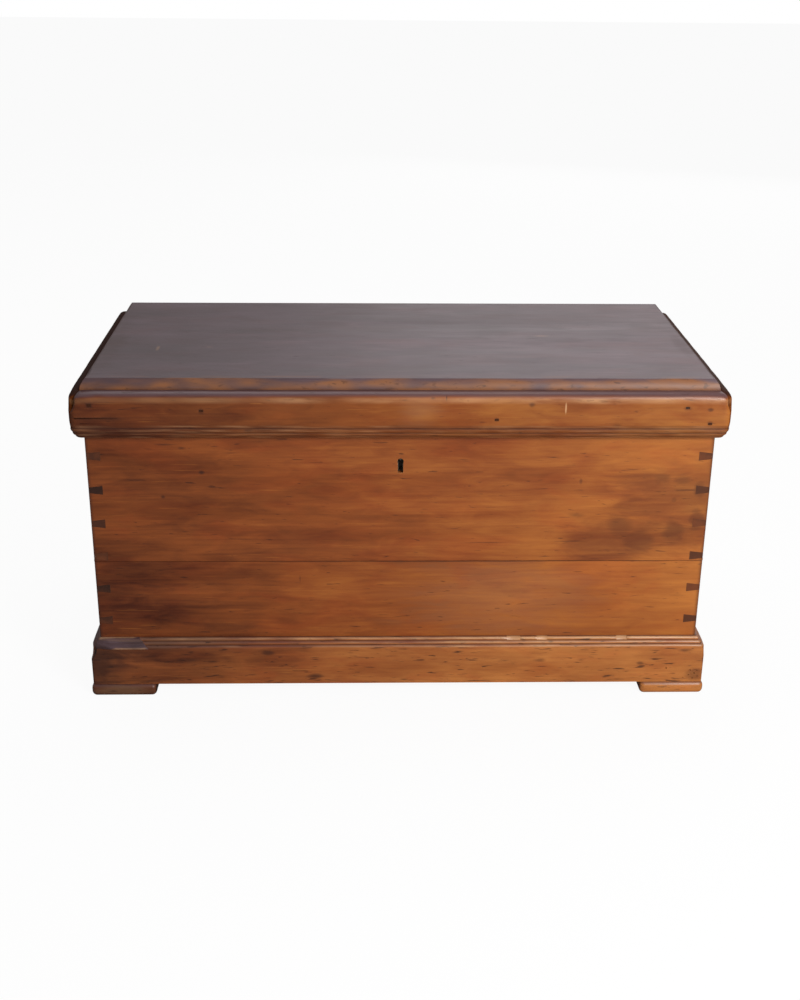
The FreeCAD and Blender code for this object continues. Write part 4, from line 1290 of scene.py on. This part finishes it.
REPAIR_MARKS = upright_marks(-0.2360, 0.03, (
    (-0.5, 0.093, 0.035, 0.03, 0.45),
    (-0.47, 0.0945, 0.06, 0.0022, 0.45),
    (-0.46, 0.0985, 0.06, 0.002, -0.12),
    (-0.44, 0.101, 0.06, 0.0016, 0.4),
))

# Where the noise of each run starts, and the share of the right fall that the plinth has
PLINTH_NOISE = {"front": 3.0, "left": 31.0, "right": 47.0}
PLINTH_RIGHT_FALL = 0.4


class CHEST_OT_plinth(bpy.types.Operator):
    """Makes the reeded plinth on three sides, and the smooth length let in at its left corner"""

    bl_idname = "chest.plinth"
    bl_label = "Plinth"

    def execute(self, context):
        settings = context.scene.chest_wear
        low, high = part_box("plinth_front")
        reach = FRONT - low.y
        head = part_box("plinth_repair_piece")[0].z
        tall = high.z - head

        def section(shares):
            crown = [(out * reach, head + up * tall, swell * reach) for out, up, swell in shares]
            corners = [(0, low.z, 0), (reach, low.z, 0), *crown, (0, high.z, 0)]
            return outline(corners, PLINTH_FLAT_STEP, PLINTH_ARC_STEPS)

        def wear(run, along, out, up, groove, crest):
            key = PLINTH_NOISE[run]
            if up < head - 0.0005:
                return 0.0, 0.0, 0.0
            dirt = groove * (0.7 + 0.3 * ripple(along * 40, key, up * 300))
            loss = 0.35 * max(0, ripple(along * 20, key, up * 300))
            pale = -0.1
            # On the front the reeds' crests grow paler towards the right and on the top reed, worn wood with
            # a painted highlight, and the reeds darken towards the left, painted shade.
            if run == "front":
                top_reed = (up - head) / tall > 0.67
                pale = 0.2 + 1.6 * min(0, along + 0.08) + 0.3 * max(0, along) + 0.4 * top_reed
                dirt = max(dirt, -0.9 * (along + 0.1))
            bare = crest ** 3 * max(0, pale + 0.5 * ripple(along * 24, key + 4, up * 260))
            if run == "front":
                for middle, half, depth in PLINTH_CHIPS:
                    if abs(along - middle) < half + STRICT and 0.05 < out < 0.45:
                        loss += depth
                        bare = max(bare, 0.55 + 0.3 * ripple(along * 300, up * 400, 2.0))
                        dirt *= 0.5
            if out < 0.15:
                dirt = max(dirt, 0.6)
            return loss, min(1, bare), dirt

        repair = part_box("plinth_repair_piece")
        chip_edges = [
            middle + way * half for middle, half, depth in PLINTH_CHIPS for way in (-1.15, -1, 1, 1.15)]
        for index, run in enumerate(RUNS):
            node = f"plinth_{run}"
            node_low, node_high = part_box(node)
            piece = moulding(
                f"worn_{node}", run, section(REED_SHARES), (FRONT, HALF), node_high.y, settings.plinth_corner,
                wear, (settings.left_fall, settings.right_fall * PLINTH_RIGHT_FALL), chip_edges)
            carve(piece, nail_pits("plinth_nails", node_low, node_high))
            if run == "front":
                carve(piece, [self.scarf(repair, head, high.z)])
                carve(piece, self.worm_holes(low.y))
            look = {"marks": PLINTH_MARKS} if run == "front" else {"grain": "Y"}
            # fade and left_shade paint light from the right and shade on the left, and upward_light a sky
            # reflection on what faces up.
            wood = pine(
                f"pine_{node}", "plinth", shift=(index * 2.7 + 1.3, 0.2, 0.33 * index), heart=(0.1, -0.25),
                gloss=0.38, shine=0.46, ticks=1.2, fade=0.12, upward_light=0.5, upward_from=0.08, lift=0.2,
                left_shade=0.45, cracks=0.05, **look)
            dress(piece, node, wood, True)
        self.let_in(section(WORN_SHARES), repair, head, high.z, settings)
        return {"FINISHED"}

    @staticmethod
    def scarf(repair, head, top):
        """The block that holds the let-in length, with its slanting right end."""
        low, high = repair
        over = 0.01
        cutter = block("scarf", (low.x - over, low.y - over, head), (high.x, high.y + over, top + over))
        edit(cutter)
        choose(cutter, "verts", lambda v: v.co.x > 0.5 * (low.x + high.x) and v.co.z > 0.5 * (head + top))
        lean = (top + over - head) / (top - head) * SCARF_LEAN
        bpy.ops.transform.translate(value=(-lean, 0, 0))
        leave_edit()
        return cutter

    def let_in(self, section, repair, head, top, settings):
        """The smooth length, kept to the block of its scarf."""
        # Pale lines at its outer edge and near its top are painted highlights.
        def smooth_wear_and_highlights(run, along, out, *rest):
            return 0.1, 0.5 * (out > 0.97 or 0.05 < out < 0.2), 0.0

        piece = moulding(
            "worn_plinth_repair_piece", "front", section, (FRONT, HALF), FRONT, settings.plinth_corner,
            smooth_wear_and_highlights, (settings.left_fall, 0.0))
        cut(piece, self.scarf(repair, head, top), "INTERSECT")
        # It takes the lid's colours, a painted sky reflection, and fade paints light towards the right.
        wood = pine(
            "pine_repair", "lid", "X", (9.1, 0.4, 0.7), (0.1, -0.25), marks=REPAIR_MARKS, gloss=0.34,
            shine=0.5, ticks=0.8, fade=0.4, lift=0.08, contrast=1.7)
        dress(piece, "plinth_repair_piece", wood, True)

    @staticmethod
    def worm_holes(face):
        """Round flight holes of wood beetles near the right end."""
        cutters = []
        for x, z, radius in WORM_HOLES:
            deselect()
            bpy.ops.mesh.primitive_cylinder_add(
                vertices=10, radius=radius, depth=0.006, location=(x, face, z), rotation=(math.pi / 2, 0, 0))
            cutter = bpy.context.active_object
            bpy.ops.object.transform_apply(location=True, rotation=True, scale=True)
            cutters.append(cutter)
        return cutters


# The pads, and the stains on one of them
FEET = ("front_left_foot", "front_right_foot", "back_left_foot", "back_right_foot")
FOOT_MARKS = {
    "front_left_foot": upright_marks(-0.2443, 0.05, (
        (-0.4523, 0.01, 0.12, 0.03, 0.18),
        (-0.46, 0.011, 0.05, 0.009, -0.16),
    )),
}


class CHEST_OT_feet(bpy.types.Operator):
    """Makes the four rounded pads that the chest stands on"""

    bl_idname = "chest.feet"
    bl_label = "Feet"

    def execute(self, context):
        wear = context.scene.chest_wear
        for index, node in enumerate(FEET):
            low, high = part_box(node)
            piece = block(f"worn_{node}", low, high)
            front = node.startswith("front")

            def rounded(edge):
                middle = (edge.verts[0].co + edge.verts[1].co) / 2
                upright = abs(edge.verts[0].co.z - edge.verts[1].co.z) > 0.005
                at_end = min(middle.x - low.x, high.x - middle.x) < SAME
                at_front = middle.y - low.y < SAME
                return (front and at_front) or (at_end and not upright)

            bevel_edges(piece, lambda e: is_sharp(e) and rounded(e), wear.foot_round, 6)
            marks = FOOT_MARKS.get(node, ())
            # fade paints light towards the right, and upward_light a sky reflection on what faces up.
            wood = pine(
                f"pine_{node}", "plinth", "X", (index * 1.9, 0.7, 0.2), (0.1, -0.1), marks=marks, gloss=0.4,
                shine=0.5, fade=0.7, upward_light=0.5)
            dress(piece, node, wood, True)
        return {"FINISHED"}


# Metals: two colours, roughness, metallic share and pits, then the solids that are made of them
METALS = {
    "old_iron": (("iron", "rust", 0.55, 0.85, 0.5), (
        "hinge_left_lower_leaf", "hinge_right_lower_leaf", "hinge_left_upper_leaf", "hinge_right_upper_leaf",
        "hinge_left_pin", "hinge_right_pin", "bottom_nails", "foot_nails")),
    "waxed_nails": (("rust", "end_grain", 0.55, 0.6, 0.3), ("rim_nails", "plinth_nails")),
    "lock_steel": (("steel", "lock_stain", 0.42, 0.95, 0.35), (
        "lock_plate", "lock_cap", "lock_bolt", "lock_back_spring", "link_plate")),
    "bright_screws": (("screw", "steel", 0.34, 0.9, 0.2), (
        "lock_screws", "link_screws", "hinge_lower_screws", "hinge_upper_screws")),
    "bright_pin": (("bright", "steel", 0.4, 0.5, 0.1), ("lock_drill_pin",)),
}


class CHEST_OT_ironwork(bpy.types.Operator):
    """Finishes the hinges, lock, link plate, screws and nails"""

    bl_idname = "chest.ironwork"
    bl_label = "Ironwork"

    def execute(self, context):
        colours = context.scene.chest_colours
        for name, ((base, stain, *finish), nodes) in METALS.items():
            metal = old_metal(name, getattr(colours, base), getattr(colours, stain), *finish)
            for node in nodes:
                paint(node, metal)
        return {"FINISHED"}


# Stage

# The floor: its size, the share that the camera sees as plain white, and its glow in reflections
FLOOR_SIZE = 40
FLOOR_WHITE = 0.94
FLOOR_GLOW = 0.08

# Soft lights: place, size and the setting that holds their power; all of them face the chest's middle
LIGHTS = {
    "key": ((1.5, -2.4, 1.6), 1.1, "key_power"),
    "top": ((-0.2, 1.2, 3.0), 2.4, "top_power"),
    "sheen": ((1.6, 4.6, 2.1), 3.7, "sheen_power"),
}
LIGHT_TARGET = Vector((0, 0, 0.28))

WHITE = (1, 1, 1, 1)
SENSOR_WIDTH = 36


class CHEST_OT_stage(bpy.types.Operator):
    """Makes the floor, the light and the camera"""

    bl_idname = "chest.stage"
    bl_label = "Stage"

    def execute(self, context):
        stage = context.scene.chest_stage
        self.floor(stage)
        self.lights(stage)
        self.world(stage)
        self.camera(stage)
        context.scene.view_settings.view_transform = "Standard"
        return {"FINISHED"}

    @staticmethod
    def floor(stage):
        deselect()
        bpy.ops.mesh.primitive_plane_add(size=FLOOR_SIZE, location=(0, 0, 0))
        piece = bpy.context.active_object
        piece.name = "studio_floor"
        shader = Shader(bpy.data.materials.new("studio_floor"))
        diffuse = shader.add("ShaderNodeBsdfDiffuse", {}, {"Color": rgba(stage.floor)})
        white = shader.add("ShaderNodeEmission", {}, {"Strength": 1.0})
        dim = shader.add("ShaderNodeEmission", {}, {"Strength": FLOOR_GLOW})
        seen = shader.ray("Is Camera Ray") * FLOOR_WHITE
        mixed = shader.add("ShaderNodeMixShader", {}, {0: seen, 1: diffuse, 2: white})
        mixed = shader.add("ShaderNodeMixShader", {}, {0: shader.ray("Is Glossy Ray"), 1: mixed, 2: dim})
        piece.data.materials.append(shader.show(mixed))

    @staticmethod
    def lights(stage):
        for name, (place, size, power) in LIGHTS.items():
            data = bpy.data.lights.new(name, "AREA")
            data.energy = getattr(stage, power)
            data.size = size
            lamp = bpy.data.objects.new(name, data)
            lamp.location = place
            lamp.rotation_euler = (LIGHT_TARGET - Vector(place)).to_track_quat("-Z", "Y").to_euler()
            bpy.context.scene.collection.objects.link(lamp)

    @staticmethod
    def world(stage):
        shader = Shader(bpy.data.worlds.new("studio"))
        soft = shader.add("ShaderNodeBackground", {}, {"Color": WHITE, "Strength": stage.sky})
        white = shader.add("ShaderNodeBackground", {}, {"Color": WHITE, "Strength": 1.0})
        seen = shader.ray("Is Camera Ray").larger(shader.ray("Is Transmission Ray"))
        mixed = shader.add("ShaderNodeMixShader", {}, {0: seen, 1: soft, 2: white})
        bpy.context.scene.world = shader.show(mixed, "ShaderNodeOutputWorld")

    @staticmethod
    def camera(stage):
        turn = Matrix.Rotation(-stage.yaw, 4, "Z")
        turn = turn @ Matrix.Rotation(math.pi / 2 - stage.pitch, 4, "X")
        turn = turn @ Matrix.Rotation(stage.roll, 4, "Z")
        data = bpy.data.cameras.new("photo_camera")
        data.lens = stage.lens
        data.sensor_width = SENSOR_WIDTH
        camera = bpy.data.objects.new("photo_camera", data)
        camera.matrix_world = Matrix.Translation(Vector(stage.eye)) @ turn
        bpy.context.scene.collection.objects.link(camera)
        bpy.context.scene.camera = camera


STEPS = (
    CHEST_OT_carcass, CHEST_OT_bottom, CHEST_OT_lid_rails, CHEST_OT_lid_top, CHEST_OT_lid_rim,
    CHEST_OT_plinth, CHEST_OT_feet, CHEST_OT_ironwork, CHEST_OT_stage,
)


class CHEST_PT_panel(bpy.types.Panel):
    """Lists the chest's colours, wear and pieces."""

    bl_idname = "CHEST_PT_panel"
    bl_label = "Blanket Chest"
    bl_space_type = "VIEW_3D"
    bl_region_type = "UI"
    bl_category = "Chest"

    def draw(self, context):
        for group in (context.scene.chest_wear, context.scene.chest_colours, context.scene.chest_stage):
            box = self.layout.box()
            for key in group.bl_rna.properties.keys():
                if key not in ("rna_type", "name"):
                    box.prop(group, key)
        for step in STEPS:
            self.layout.operator(step.bl_idname)


GROUPS = {"chest_wear": ChestWear, "chest_colours": ChestColours, "chest_stage": ChestStage}


def register():
    for group in GROUPS.values():
        bpy.utils.register_class(group)
    for step in (*STEPS, CHEST_PT_panel):
        bpy.utils.register_class(step)
    for key, group in GROUPS.items():
        setattr(bpy.types.Scene, key, bpy.props.PointerProperty(type=group))


def unregister():
    for key in GROUPS:
        delattr(bpy.types.Scene, key)
    for step in (CHEST_PT_panel, *reversed(STEPS)):
        bpy.utils.unregister_class(step)
    for group in reversed(list(GROUPS.values())):
        bpy.utils.unregister_class(group)


def main():
    register()
    bpy.ops.chest.carcass()
    bpy.ops.chest.bottom()
    bpy.ops.chest.lid_rails()
    bpy.ops.chest.lid_top()
    bpy.ops.chest.lid_rim()
    bpy.ops.chest.plinth()
    bpy.ops.chest.feet()
    bpy.ops.chest.ironwork()
    bpy.ops.chest.stage()


if __name__ == "__main__":
    main()
